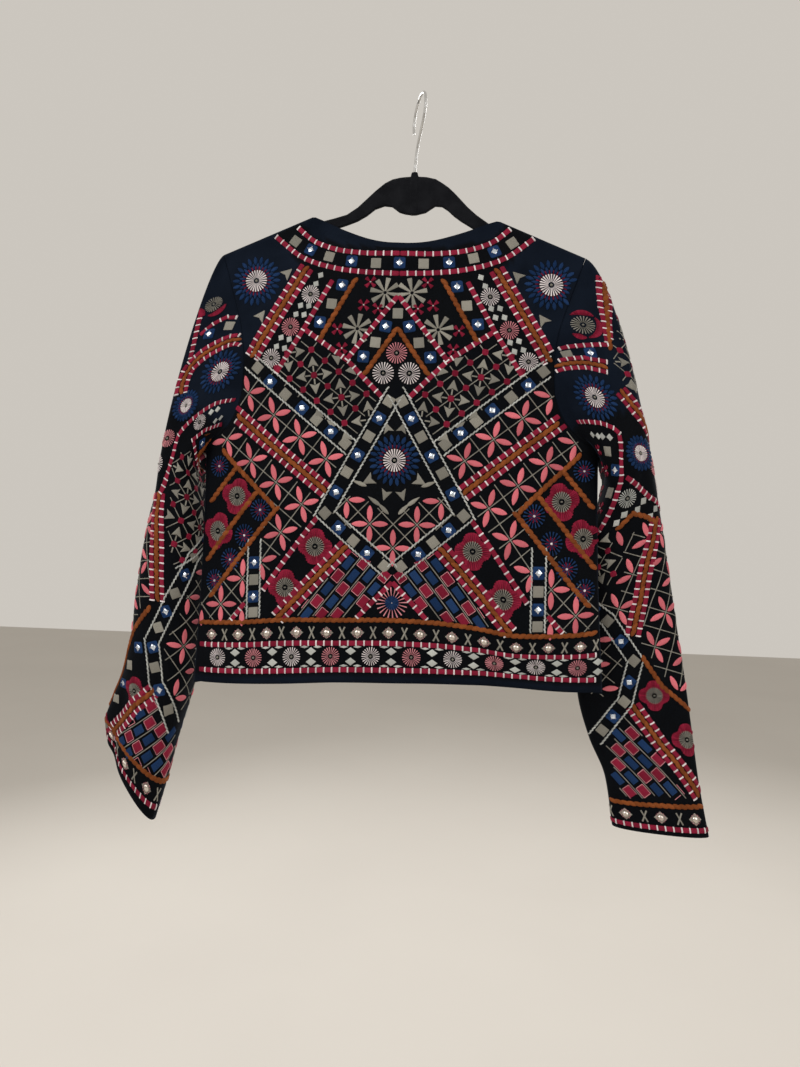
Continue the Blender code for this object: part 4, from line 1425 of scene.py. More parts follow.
    def pinwheel(self, place: Place) -> None:
        """Eight grey blades round a point."""
        self.spokes(Thread.GREY, place, 0.00198, 0.01749, 8, 1.15, Motif.BLADE, 0.2)

    def blossom(self, place: Place) -> None:
        """Four small crimson petals round a white dot."""
        self.spokes(Thread.CRIMSON, place, 0.001088, 0.00748, 4, 0.98, Motif.BLADE, math.pi / 4)
        self.pattern.lay(Thread.IVORY, Motif.KNOT, place, 0.0, 0.55, 0.55)

    def petal_field(
        self, polygon: Flat, origin: Place, axis: float, pitch: float = 0.0405, turn: float = 0.0
    ) -> None:
        """Pink four-petal flowers on a lattice of thin grey lines, kept to a polygon.

        Args:
            polygon: The field's edge.
            origin: The middle of one flower.
            axis: Which way the lattice runs; the petals lie between its lines.
            pitch: How far apart the flowers are.
            turn: How far the petals are turned from halfway between the lines.
        """
        laid = Pattern()
        along, aside = axes(axis)
        for i, j, k in itertools.product(range(-7, 8), range(-7, 8), range(4)):
            angle = axis + turn + math.pi / 4 + k * math.pi / 2
            middle = np.array(origin) + pitch * (i * along + j * aside) + PETAL_REACH * axes(angle)[0]
            laid.lay(Thread.PINK, Motif.PETAL, middle, angle)
        Stitcher(laid).lattice(origin, axis, 0.5 * pitch, 14, 0.28)
        self.pattern.add(laid.kept(polygon))

    def arrow_field(self, polygon: Flat, origin: Place, axis: float) -> None:
        """Grey arrows that spring from crimson knots on a grey lattice, kept to a polygon.

        Args:
            polygon: The field's edge.
            origin: The middle of a knot that arrows spring from.
            axis: Which way the lattice runs.
        """
        laid = Pattern()
        along, aside = axes(axis)
        for i, j in itertools.product(range(-10, 11), range(-10, 11)):
            centre = np.array(origin) + ARROW_PITCH * (i * along + j * aside)
            laid.lay(Thread.CRIMSON, Motif.SQUARE, centre, axis + math.pi / 4, 0.58, 0.58)
            for k in range(4 if i % 2 == 0 and j % 2 == 0 else 0):
                angle = axis + math.pi / 4 + k * math.pi / 2
                way, _ = axes(angle)
                laid.lay(Thread.GREY, Motif.ARROW, centre + 0.0146 * way, angle, 1.02, 1.08)
                laid.lay(Thread.GREY, Motif.LINE, centre + 0.0075 * way, angle, 1.1, 1.6)
        Stitcher(laid).lattice(origin, axis, ARROW_PITCH, 10, 0.2)
        self.pattern.add(laid.kept(polygon))

    def brick_field(self, polygon: Flat, origin: Place, axis: float) -> None:
        """Blue and crimson bricks in slanting courses with grey lines between, kept to a polygon.

        Args:
            polygon: The field's edge.
            origin: The middle of one blue brick.
            axis: Which way the courses run; each lies to the left of the last.
        """
        laid = Pattern()
        maker = Stitcher(laid)
        along, aside = axes(axis)
        for j in range(-7, 8):
            for i in range(-9, 10):
                middle = np.array(origin) + BRICK_COURSE * j * aside + BRICK_RUN * (i + 0.6 * j) * along
                if (i + (0, 1, 1, 0)[j % 4]) % 2 == 0:
                    laid.lay(Thread.BLUE, Motif.BRICK, middle, axis)
                    continue
                laid.lay(Thread.CRIMSON, Motif.BRICK, middle, axis, 0.80, 1.02)
                for side in (-1, 1):
                    end, flank = middle + side * 0.0067 * along, middle + side * 0.0050 * aside
                    laid.lay(Thread.BLUSH, Motif.LINE, end, axis + math.pi / 2, 1.6, 0.6)
                    laid.lay(Thread.BLUSH, Motif.LINE, flank, axis, 2.2, 0.6)
            edge = np.array(origin) + BRICK_COURSE * (j + 0.5) * aside
            maker.line(np.stack([edge - 0.17 * along, edge + 0.17 * along]))
        self.pattern.add(laid.kept(polygon))

    def rosette_border(self, path: Flat, pitch: float) -> None:
        """White and pink wheels in turn, with pale diamonds between."""
        for k, (place, angle) in enumerate(zip(*walk(path, pitch))):
            along, aside = axes(angle)
            self.rosette(place, Thread.BLUSH if k % 2 else Thread.IVORY, 0.0106)
            between = place + 0.5 * pitch * along
            for side in (-1, 1):
                middle = between + side * 0.0060 * aside
                self.pattern.lay(Thread.MINT, Motif.DIAMOND, middle, angle, 1.20, 0.98)
                for reach in (-1, 1):
                    tip = between + reach * 0.0080 * along + side * 0.0108 * aside
                    self.pattern.lay(Thread.MINT, Motif.DIAMOND, tip, angle, 1.0, 0.34)

    def bead_border(self, path: Flat, pitch: float) -> None:
        """Silver beads in grey eyes, with a grey cross between each two."""
        for place, angle in zip(*walk(path, pitch)):
            self.pattern.lay(Thread.GREY, Motif.DIAMOND, place, angle, 1.50, 1.55)
            self.spokes(Thread.BLUSH, place, 0.0044, 0.0060, 14, 0.60, turn=angle)
            self.pattern.lay(Thread.SILVER, Motif.BEAD, place, angle, 1.2, 1.2)
            between = place + 0.5 * pitch * axes(angle)[0]
            for way in (1.13, -1.13):
                self.pattern.lay(Thread.GREY, Motif.LINE, between, angle + way, 2.5, 1.7)


CENTRE_U = 0.003
PETAL_AXIS = math.radians(38)
PETAL_TURN = math.radians(-7)
BLACK_PART = mm(
    (0, -184), (60, -181), (104, -168), (122, -150), (152, -163), (118, -206), (180, -311.5),
    (260, -311.5), (260, -674.5), (0, -674.5), (-10, -400),
)


@dataclass(frozen=True)
class BackDesign:
    """The embroidery of the back, from a half that is mirrored about its centre line.

    Attributes:
        neck_upper: The red and white line below the plain neck edge.
        neck_lower: The lower edge of the neck band.
        neck_squares: The neck band's squares and mirrors.
        arm_band: The middle of the band of squares from the armhole to the centre diamond.
        arm_squares: That band's squares and mirrors.
        diamond: The middle of the band of squares round the centre diamond.
        diamond_squares: That band's squares and mirrors.
    """

    neck_upper: Flat = mm((0, -191), (47, -189.5), (80, -183.5), (104, -173), (124.5, -156.5))
    neck_lower: Flat = mm((0, -215), (40, -213), (73, -208.5), (115, -194.5), (151.5, -167))
    neck_squares: Flat = mm((27.5, -202.5), (56.5, -199.8), (84, -193.5), (107.5, -184), (127.5, -172.5))
    arm_band: Flat = mm((180, -313), (50, -415.5))
    arm_squares: Flat = mm(
        (165.5, -324), (149, -340.5), (130, -355), (109.5, -370.5), (92, -383.5), (74.5, -397),
        (57.5, -410),
    )
    diamond: Flat = mm((0, -350), (80, -490), (0, -558))
    diamond_squares: Flat = mm(
        (7.5, -362), (18.5, -381.5), (30, -402), (42.5, -423.5), (55, -443), (67, -466), (80, -490),
        (63.5, -506.5), (46, -521), (29.5, -535), (9.5, -550),
    )

    def laid_out(self) -> Pattern:
        """The whole back's stitches on the flat cloth."""
        half = Pattern()
        maker = Stitcher(half)
        self._neck(maker)
        self.fields(maker)
        whole = Pattern()
        half = half.moved(CENTRE_U)
        whole.add(half)
        whole.add(half.mirrored(CENTRE_U))
        middle = Pattern()
        self._middle(Stitcher(middle))
        whole.add(middle.moved(CENTRE_U))
        self.hem(Stitcher(whole))
        return whole

    def fields(self, maker: Stitcher) -> None:
        """Everything of the half between the neck band and the hem's borders."""
        self._yoke(maker)
        self._arrows(maker)
        self._square_bands(maker)
        self._petals(maker)
        self._sides(maker)
        self._bricks(maker)

    def _neck(self, maker: Stitcher) -> None:
        """The band round the neck."""
        maker.red_white(rounded(self.neck_upper))
        maker.red_white(rounded(self.neck_lower))
        maker.square_row(self.neck_squares, False, [0.02, 0.10, 0.25, 0.45, 0.62])

    def _yoke(self, maker: Stitcher) -> None:
        """Shoulder bands, daisies and wheels, and the lines of the yoke."""
        maker.triple(mm((110, -205.5), (173, -311.5)))
        maker.daisy((0.1725, -0.2215), 0.0300)
        for place, angle in (((0.1345, -0.2130), 2.4), ((0.1640, -0.2640), 2.2)):
            maker.pattern.lay(Thread.GREY, Motif.ARROW, place, angle, 1.1, 1.2)
        maker.red_white(mm((78, -222), (109.5, -278.5), (142, -330.5)))
        threads = (Thread.IVORY, Thread.BLUSH, Thread.IVORY)
        for place, thread in zip(mm((104, -239), (126.5, -277.5), (148.5, -313.5)), threads):
            maker.rosette(place, thread, 0.0108)
        for x, y in mm((95.5, -221.5), (118, -257.5), (108, -258), (140, -295), (130, -297)):
            for step in (-0.0052, 0.0052):
                maker.pattern.lay(Thread.MINT, Motif.DIAMOND, (x + 0.5 * step, y - step), -1.0, 0.85, 0.85)
        maker.mirror((0.0665, -0.2285), 0.15)
        maker.grey_square((0.0780, -0.2505), 0.10)
        maker.mirror((0.0910, -0.2720), 0.10)
        maker.cable(mm((50, -220.5), (91, -292.5)))
        maker.pinwheel((0.0155, -0.2375))
        maker.pinwheel((0.0465, -0.2795))
        for place in mm((33, -225), (40, -252), (70, -280), (64, -302), (23, -256)):
            maker.blossom(place)
        maker.red_white(mm((0, -240.5), (58, -315)))
        maker.red_white(mm((109.5, -280), (58, -315), (16, -357)))
        maker.cable(mm((0, -278), (37, -332)))
        maker.mirror((0.0135, -0.2765), math.pi / 4 - 0.6)
        maker.grey_square((0.0250, -0.2950), 0.10)
        maker.mirror((0.0385, -0.3115), 0.10)
        maker.rosette((0.0150, -0.3300), Thread.IVORY, 0.0125)

    def _arrows(self, maker: Stitcher) -> None:
        """The field of grey arrows below the yoke."""
        field_edge = mm((109.5, -287), (59, -320), (19, -360), (52, -408), (150, -329))
        maker.arrow_field(field_edge, (0.0960, -0.3330), math.radians(37))

    def _square_bands(self, maker: Stitcher) -> None:
        """The bands of squares between twisted lines."""
        for offset in (-0.0095, 0.0095):
            maker.rope(self.arm_band, offset)
            maker.rope(shifted(self.diamond, offset))
        maker.square_row(self.arm_squares, False, [-0.85] * 7)
        slopes = [-1.05] * 6 + [0.78] + [0.70] * 4
        maker.square_row(self.diamond_squares, False, slopes)
        upright = 0.1655
        for offset in (-0.0080, 0.0080):
            maker.rope([(upright, -0.5190), (upright, -0.6080)], offset)
        maker.square_row([(upright, z) for z in (-0.5450, -0.5640, -0.5830, -0.6010)], True, [0.0] * 4)

    def _petals(self, maker: Stitcher) -> None:
        """The fields of pink flowers at the sides."""
        upper = mm((190, -330), (164, -336), (66, -417), (64, -428), (78, -455), (195, -364))
        lower = mm(
            (206, -380), (87, -474), (93, -487), (157, -568), (155.5, -506), (140, -484), (164, -462),
            (190, -434), (218, -412),
        )
        corner = mm((176, -520), (240, -585), (240, -608), (176, -608))
        maker.petal_field(upper, (0.1118, -0.4035), PETAL_AXIS, turn=PETAL_TURN)
        maker.petal_field(lower, (0.1400, -0.4555), PETAL_AXIS, turn=PETAL_TURN)
        maker.petal_field(corner, (0.2085, -0.5905), math.pi / 4)

    def _sides(self, maker: Stitcher) -> None:
        """Slanting bands, orange lines and the flowers between them."""
        maker.triple(mm((195.5, -374), (79, -465)))
        maker.triple(mm((53.5, -526.5), (135, -609)))
        maker.cable(mm((210, -418), (190, -438), (139, -486), (224, -582)))
        maker.cable(mm((190, -438), (226, -478)))
        maker.cable(mm((163, -466), (230, -542)))
        maker.red_white(mm((88.5, -494), (153, -576)))
        maker.red_white(mm((177, -590), (193, -608)))
        places = (
            ((0.1895, -0.4715), 0.3), ((0.2150, -0.5100), 0.3), ((0.0910, -0.5280), 0.1),
            ((0.1265, -0.5745), 0.1),
        )
        for place, turn in places:
            maker.crimson_wheel(place, turn)
        for place in mm((214.5, -437), (159, -487), (179, -515), (197, -541), (218, -564)):
            maker.dark_flower(place)

    def _bricks(self, maker: Stitcher) -> None:
        """The brick field beside the hem's chevron."""
        field_edge = mm((4, -564), (44, -533), (118, -606), (46, -606))
        maker.brick_field(field_edge, (0.0997, -0.6050), math.radians(129.4))
        maker.red_white(mm((0, -568), (40, -609)))

    def _middle(self, maker: Stitcher) -> None:
        """What stands on the centre line."""
        maker.mirror((0.0, -0.2022))
        maker.grey_square((0.0, -0.2615))
        maker.rosette((0.0, -0.3070), Thread.BLUSH, 0.0122)
        maker.daisy((0.0, -0.4290), 0.0290)
        for side in (-1, 1):
            for x, y, angle, length in (
                (0.0085, -0.3925, 1.25, 1.0), (0.0095, -0.4680, -1.25, 1.05), (0.0290, -0.4520, -0.50, 1.2)
            ):
                turned = angle if side > 0 else math.pi - angle
                maker.pattern.lay(Thread.GREY, Motif.ARROW, (side * x, y), turned, length, length)
            places = (
                (0.0400, -0.4555, 0.35), (0.0120, -0.4840, 0.78), (0.0225, -0.4755, 0.62),
            )
            for x, y, angle in places:
                turned = angle if side > 0 else math.pi - angle
                maker.pattern.lay(Thread.GREY, Motif.LEAF, (side * x, y), turned, 1.15, 0.75)
        field_edge = mm(
            (-64, -472), (-40, -470), (0, -496), (40, -470), (64, -472), (70, -490), (0, -548),
            (-70, -490),
        )
        maker.petal_field(field_edge, (0.0, -0.5290), math.pi / 4, 0.0385)
        maker.spokes(Thread.BLUSH, (0.0, -0.5920), 0.0080, 0.0180, 20, 0.90, turn=0.08)
        maker.spokes(Thread.BLUE, (0.0, -0.5920), 0.0008, 0.0082, 16, 1.35)
        maker.pattern.lay(Thread.IVORY, Motif.KNOT, (0.0, -0.5920), 0.0, 0.4, 0.4)

    def hem(self, maker: Stitcher) -> None:
        """The borders along the hem."""
        reach = 0.2360
        maker.cable([(-reach, -0.6120), (reach, -0.6120)])
        maker.bead_border([(-reach, -0.6265), (reach, -0.6265)], 0.0365)
        maker.red_white([(-reach, -0.6385), (reach, -0.6385)])
        maker.rosette_border(mm((-233, -653.5), (239, -653.5)), 0.0475)
        maker.red_white([(-reach, -0.6690), (reach, -0.6690)])


@dataclass(frozen=True)
class FrontDesign:
    """The embroidery of a front: the back's half, cut clear of a band along the neck and the open edge.

    Attributes:
        panel: The front.
        band_lines: How far inside the edge the band's two lines run.
        clear: How far inside the edge the back's pattern starts.
        square_pitch: How far apart the band's squares are.
    """

    panel: Panel
    band_lines: tuple[float, float] = (0.0165, 0.0410)
    clear: float = 0.0490
    square_pitch: float = 0.0290

    def _inside_line(self, offset: float) -> np.ndarray:
        """A line along the neck and the open edge, an even distance inside them."""
        edge = rounded(self.panel.neck_path()[::2], 0.002)
        line = shifted(edge, offset)
        apart = np.linalg.norm(line[:, None] - edge[None], axis=-1).min(axis=1)
        return line[apart > 0.97 * offset]

    def laid_out(self) -> Pattern:
        """The front's stitches on the flat cloth."""
        back = BackDesign()
        half = Pattern()
        maker = Stitcher(half)
        back.fields(maker)
        inner = [tuple(place) for place in self._inside_line(self.clear)]
        right = half.moved(CENTRE_U).kept((*inner, (0.30, -0.68), (0.30, -0.10)))
        band = Stitcher(right)
        for offset in self.band_lines:
            band.red_white(self._inside_line(offset))
        middle = self._inside_line(0.5 * sum(self.band_lines))
        for k, (place, angle) in enumerate(zip(*walk(middle, self.square_pitch))):
            (band.mirror if k % 2 else band.grey_square)(tuple(place), angle)
        hem = Pattern()
        back.hem(Stitcher(hem))
        right.add(hem.kept((*inner, (0.30, -0.69), (0.30, -0.10))))
        whole = Pattern(9)
        whole.add(right if self.panel.hand is Hand.RIGHT else right.mirrored(0.0))
        return whole


@dataclass(frozen=True)
class SleeveDesign:
    """The embroidery of a sleeve, from its back half; the front half is its mirror image.

    Attributes:
        sleeve: The sleeve it is worked on.
    """

    sleeve: Sleeve

    def laid_out(self) -> Pattern:
        """The whole sleeve's stitches on the flat cloth."""
        half = Pattern(7 if self.sleeve.hand is Hand.RIGHT else 8)
        maker = Stitcher(half)
        if self.sleeve.hand is Hand.RIGHT:
            self._right_top(maker)
            self._right_arm(maker)
            self._cuff(maker, self.sleeve.heights[-1] + 0.0080)
        else:
            self._left_top(maker)
            self._left_arm(maker)
            self._cuff(maker, self.sleeve.heights[-1] + 0.0130)
        return self.sleeve.both_halves(half)

    @staticmethod
    def _cuff(maker: Stitcher, base: float) -> None:
        """The borders above the cuff's edge, from the height of the lowest line up."""
        maker.red_white([(-0.10, base), (0.10, base)])
        maker.bead_border([(-0.1030, base + 0.0125), (0.1000, base + 0.0125)], 0.0380)
        maker.cable([(-0.10, base + 0.0265), (0.10, base + 0.0265)])

    @staticmethod
    def _squares(maker: Stitcher, places: Flat, mirrors_first: bool, angle: float) -> None:
        """Squares and mirrors in turn, all turned the same way."""
        maker.square_row(places, mirrors_first, [angle] * len(places))

    @staticmethod
    def _diamonds(maker: Stitcher, places: Flat, angle: float) -> None:
        """Small pairs of pale diamonds."""
        along, _ = axes(angle)
        for place in places:
            for step in (-0.0058, 0.0058):
                maker.pattern.lay(Thread.MINT, Motif.DIAMOND, place + step * along, angle)

    def _right_top(self, maker: Stitcher) -> None:
        """The right sleeve from its cap to below the daisies."""
        maker.red_white(mm((-92, -208), (-79, -225), (-67, -243), (-56, -264), (-43, -288)))
        maker.cable(mm((-93, -216), (-84, -227), (-73, -245), (-61, -264), (-48, -285), (-42, -297)))
        maker.red_white(mm((-87, -230), (-75, -247), (-62, -265), (-50, -285)))
        field = mm(
            (-120, -220), (-92, -232), (-80, -252), (-68, -271), (-55, -291), (-42, -298), (-30, -330),
            (-34, -344), (-120, -345),
        )
        maker.arrow_field(field, (-0.070, -0.290), 1.05)
        wheel = (-0.0330, -0.2590)
        maker.rosette(wheel, Thread.GREY, 0.0122)
        for start, end in ((1.54, 2.84), (2.97, 5.01), (5.15, 6.02)):
            maker.crescent(wheel, 0.0172, start, end)
        maker.red_white(mm((60, -252), (9, -273), (-17, -282), (-42, -291)))
        self._squares(maker, mm((58, -264), (34, -275), (9, -284), (-17, -293)), False, 0.35)
        maker.triple(mm((66, -274), (30, -290), (-4, -302), (-24, -315)))
        maker.daisy((0.0142, -0.3440), 0.0295)
        self._squares(maker, mm((-44, -343),), False, 0.9)
        maker.triple(mm((-24, -345), (-31, -366), (-42, -392), (-66, -410)))
        maker.daisy((-0.0160, -0.4180), 0.0205)
        path = mm(
            (70, -363), (40, -369), (20, -377), (6, -389), (8, -405), (13, -420), (16, -447),
            (25, -478), (43, -506), (66, -520),
        )
        maker.red_white(rounded(path))
        self._diamonds(maker, mm((26, -391), (44, -386)), 0.3)
        self._squares(maker, mm((31, -408), (24, -431), (30, -456)), False, 0.2)
        for place in mm((52, -404), (45, -430), (60, -452), (44, -472), (66, -484), (66, -425)):
            maker.blossom(place)
        maker.rosette((0.0060, -0.4660), Thread.MINT, 0.0105)
        maker.rosette((-0.0380, -0.4350), Thread.BLUSH, 0.0105)
        maker.rosette((-0.0520, -0.4580), Thread.IVORY, 0.0105)
        maker.red_white(mm((9, -441), (-1, -450), (-22, -468), (-47, -482), (-75, -492)))
        self._diamonds(maker, mm((-12, -477), (-30, -488), (12, -488)), -0.8)
        maker.cable(mm((14, -500), (-2, -484), (-22, -492), (-34, -500)))
        path = mm(
            (66, -526), (44, -513), (20, -508), (6, -536), (12, -566), (80, -570), (80, -520),
        )
        maker.arrow_field(path, (0.0330, -0.5420), 0.5)

    def _right_arm(self, maker: Stitcher) -> None:
        """The right sleeve from the long slanting band down."""
        maker.triple(mm((-36, -494), (-25, -542), (-17, -587), (-6, -628)))
        inner = mm(
            (-24, -502), (14, -512), (-1, -538), (6, -574), (46, -578), (22, -592), (4, -620),
            (-8, -590), (-16, -545),
        )
        maker.petal_field(inner, (-0.0080, -0.5560), 0.40, SLEEVE_PETAL_PITCH)
        outer = mm(
            (-46, -500), (-34, -548), (-26, -590), (-15, -634), (-26, -664), (-46, -690), (-100, -716),
            (-100, -500),
        )
        maker.petal_field(outer, (-0.0474, -0.6060), 0.40, SLEEVE_PETAL_PITCH)
        band = mm((60, -571), (22, -606), (-7, -659), (11, -707), (56, -752))
        maker.ropes(band, 0.0085)
        places = mm(
            (54, -577), (38, -592), (22, -608), (8, -634), (-5, -659), (3, -684), (12, -707),
            (28, -724), (44, -740),
        )
        self._squares(maker, places, False, 0.8)
        diamond = mm((50, -596), (30, -616), (8, -659), (24, -700), (50, -700))
        maker.petal_field(diamond, (0.0440, -0.6600), 0.785, SLEEVE_PETAL_PITCH)
        maker.cable(mm((-15, -655), (-34, -692), (-63, -722), (-100, -740)))
        maker.crimson_wheel((-0.0235, -0.7020), 0.1, 0.0180)
        maker.crimson_wheel((-0.0520, -0.7560), 0.1, 0.0185)
        maker.crimson_wheel((-0.0830, -0.7960), 0.1, 0.0185)
        maker.triple(mm((3, -712), (-21, -761), (-49, -812), (-52, -818)))
        bricks = mm((12, -720), (26, -745), (42, -758), (42, -820), (-38, -820), (-10, -770))
        maker.brick_field(bricks, (0.0200, -0.7800), 0.95)

    def _left_top(self, maker: Stitcher) -> None:
        """The left sleeve from its cap to below the daisies."""
        maker.red_white(mm((-72, -250), (-67, -262), (-56, -285), (-46, -308)))
        wheel = (-0.0633, -0.2378)
        maker.rosette(wheel, Thread.GREY, 0.0105)
        for start, end in ((-1.35, 0.28), (-2.56, -1.68)):
            maker.crescent(wheel, 0.0152, start, end)
        maker.red_white(mm((-53, -278), (-45, -262), (-36, -250), (-24, -243), (10, -237), (60, -240)))
        self._squares(maker, mm((-41, -274), (-23, -256), (2, -250), (30, -252), (56, -256)), True, 0.4)
        path = mm(
            (64, -268), (30, -264), (3, -266), (-18, -284), (-31, -301), (-38, -317), (-37, -337),
            (-31, -352),
        )
        maker.triple(rounded(path))
        maker.daisy((0.0120, -0.3110), 0.0300)
        maker.daisy((-0.0130, -0.3640), 0.0205)
        maker.rosette((-0.0200, -0.4080), Thread.BLUSH, 0.0110)
        maker.rosette((-0.0260, -0.4400), Thread.IVORY, 0.0110)
        path = mm(
            (72, -332), (37, -350), (19, -367), (5, -385), (-2, -399), (-1, -424), (-6, -450),
            (-14, -474),
        )
        maker.red_white(rounded(path))
        maker.rosette((0.0270, -0.3770), Thread.IVORY, 0.0105)
        self._diamonds(maker, mm((44, -357), (64, -365)), 0.6)
        maker.red_white(mm((84, -368), (45, -384), (28, -400), (48, -420), (80, -446)))
        maker.mirror((0.0530, -0.4010), 0.6)
        maker.cable(mm((78, -388), (52, -418), (80, -440)))
        path = mm(
            (2, -424), (24, -412), (48, -430), (84, -458), (74, -494), (56, -536), (16, -552),
            (0, -501),
        )
        maker.arrow_field(path, (0.0230, -0.4700), 0.62)
        maker.rope(mm((86, -466), (62, -524), (18, -556)))

    def _left_arm(self, maker: Stitcher) -> None:
        """The left sleeve from the long slanting band down."""
        maker.triple(mm((-16, -474), (-11, -517), (-5, -564), (0, -600)))
        outer = mm(
            (-24, -478), (-19, -517), (-13, -564), (-8, -604), (-22, -612), (-34, -642), (-44, -676),
            (-100, -690), (-100, -478),
        )
        maker.petal_field(outer, (-0.0190, -0.5560), 0.30, SLEEVE_PETAL_PITCH)
        band = mm((80, -500), (40, -540), (16, -600), (-2, -651), (12, -697), (52, -740))
        maker.ropes(band, 0.0085)
        places = mm(
            (62, -519), (42, -539), (31, -562), (21, -586), (12, -610), (4, -632), (1, -657), (7, -680),
            (18, -704), (36, -722),
        )
        self._squares(maker, places, True, 0.5)
        diamond = mm(
            (84, -520), (54, -548), (32, -600), (14, -650), (26, -690), (62, -728), (90, -728),
            (90, -520),
        )
        maker.petal_field(diamond, (0.0380, -0.6480), 0.785, SLEEVE_PETAL_PITCH)
        maker.cable(mm((-8, -610), (-31, -644), (-45, -677), (-50, -716), (-60, -770)))
        self._squares(maker, mm((-19, -664), (-30, -691), (-36, -721), (-43, -750)), True, 0.3)
        maker.crimson_wheel((-0.0125, -0.7180), 0.1, 0.0180)
        maker.crimson_wheel((-0.0560, -0.7980), 0.1, 0.0150)
        maker.triple(mm((12, -706), (-6, -733), (-20, -765), (-38, -800)))
        bricks = mm(
            (20, -712), (34, -738), (72, -752), (90, -750), (90, -792), (-28, -792), (-10, -764),
            (2, -735),
        )
        maker.brick_field(bricks, (0.0240, -0.7600), 0.95)


def outline_points(shape: str, length: float, width: float, count: int) -> np.ndarray:
    """The outline of a motif about its middle.

    Args:
        shape: bar, brick, strip, lens, oval, diamond, arrow, wedge or leaf.
        length: Its size along X.
        width: Its size along Y.
        count: How many points a curved outline has.

    Returns:
        The outline's points, anticlockwise.
    """
    if shape in ("bar", "brick"):
        cut = 0.18 if shape == "bar" else 0.06
        corners = [(1 - cut, -1), (1, -1 + 2 * cut), (1, 1 - 2 * cut), (1 - cut, 1)]
        points = corners + [(-x, -y) for x, y in corners]
    elif shape == "strip":
        points = [(1, -1), (1, 1), (-1, 1), (-1, -1)]
    elif shape == "diamond":
        points = [(1, 0), (0, 1), (-1, 0), (0, -1)]
    elif shape == "arrow":
        points = [(1.0, 0.06), (0.10, 0.52), (-0.80, 1.0), (-0.55, 0.30), (-0.42, 0.0)]
        points = points + [(x, -y) for x, y in points[:4][::-1]]
    elif shape == "wedge":
        points = [(1.0, -0.9), (1.0, 0.9), (0.85, 1.0), (-1.0, 0.32), (-1.0, -0.32), (0.85, -1.0)]
    else:
        turns = np.arange(count) * 2 * math.pi / count
        x, y = np.cos(turns), np.sin(turns)
        if shape == "lens":
            y = np.sign(y) * (1.0 - x * x) ** 0.78
        elif shape == "leaf":
            y = np.sign(y) * (1.0 - x * x) ** 0.8 * (1.0 - 0.45 * x)
        points = np.stack([x, y], axis=-1)
    return np.asarray(points, float) * (0.5 * length, 0.5 * width)


@dataclass(frozen=True)
class MotifShape:
    """The real size and outline of one motif.

    Attributes:
        motif: Which motif it is.
        shape: Its outline.
        length: Its size along X.
        width: Its size along Y.
        height: How far it stands proud of the cloth.
        rings: Shares of the outline, and of the height, from its edge to its top.
        count: How many points a curved outline has.
    """

    motif: Motif
    shape: str
    length: float
    width: float
    height: float
    rings: tuple[tuple[float, float], ...] = ((1.0, 0.30), (0.80, 0.85), (0.42, 1.0))
    count: int = 12

    def build(self) -> bpy.types.Object:
        """The motif as a small closed mesh whose UV map is its place in metres."""
        outline = outline_points(self.shape, self.length, self.width, self.count)
        number = len(outline)
        levels = ((1.0, -STITCH_SINK / self.height), *self.rings)
        points = [(x * share, y * share, self.height * level) for share, level in levels for x, y in outline]
        faces = [tuple(range(number))[::-1]]
        for ring in range(len(levels) - 1):
            for i in range(number):
                j = (i + 1) % number
                a, b = ring * number, (ring + 1) * number
                faces.append((a + i, a + j, b + j, b + i))
        top = (len(levels) - 1) * number
        faces.append(tuple(range(top, top + number)))
        mesh = bpy.data.meshes.new(self.motif.name.lower())
        mesh.from_pydata(points, [], faces)
        layer = mesh.uv_layers.new(name="UVMap")
        for loop in mesh.loops:
            layer.data[loop.index].uv = points[loop.vertex_index][:2]
        return bpy.data.objects.new(f"motif_{self.motif.value:02d}", mesh)


MOTIF_SHAPES = (
    MotifShape(Motif.BAR, "bar", 0.0064, 0.0020, 0.0012, ((1.0, 0.4), (0.72, 1.0))),
    MotifShape(Motif.BLOCK, "bar", 0.0088, 0.0056, 0.0010, ((1.0, 0.4), (0.74, 1.0))),
    MotifShape(Motif.LINK, "oval", 0.0110, 0.0056, 0.0017, ((1.0, 0.35), (0.62, 1.0)), count=10),
    MotifShape(Motif.TWIST, "strip", 0.0052, 0.0018, 0.0011, ((1.0, 0.4), (0.70, 1.0))),
    MotifShape(Motif.LINE, "strip", 0.0060, 0.0011, 0.0006, ((1.0, 0.4), (0.70, 1.0))),
    MotifShape(Motif.PETAL, "lens", 0.0190, 0.0068, 0.0011, count=12),
    MotifShape(Motif.SQUARE, "brick", 0.0118, 0.0118, 0.0009),
    MotifShape(Motif.PLATE, "bar", 0.0056, 0.0056, 0.0009, ((1.0, 0.7), (0.86, 1.0))),
    MotifShape(Motif.DIAMOND, "diamond", 0.0105, 0.0092, 0.0008),
    MotifShape(Motif.ARROW, "arrow", 0.0132, 0.0122, 0.0009),
    MotifShape(Motif.BLADE, "wedge", 0.0120, 0.0050, 0.0009),
    MotifShape(Motif.SPOKE, "wedge", 0.0060, 0.0017, 0.0009, ((1.0, 0.4), (0.70, 1.0))),
    MotifShape(Motif.KNOT, "oval", 0.0036, 0.0036, 0.0014, ((1.0, 0.35), (0.60, 1.0)), count=8),
    MotifShape(Motif.BRICK, "brick", 0.0152, 0.0084, 0.0009),
    MotifShape(
        Motif.BEAD, "oval", 0.0068, 0.0068, 0.0028, ((1.0, 0.25), (0.86, 0.62), (0.52, 0.92), (0.20, 1.0))
    ),
    MotifShape(Motif.LEAF, "leaf", 0.0160, 0.0062, 0.0010),
)


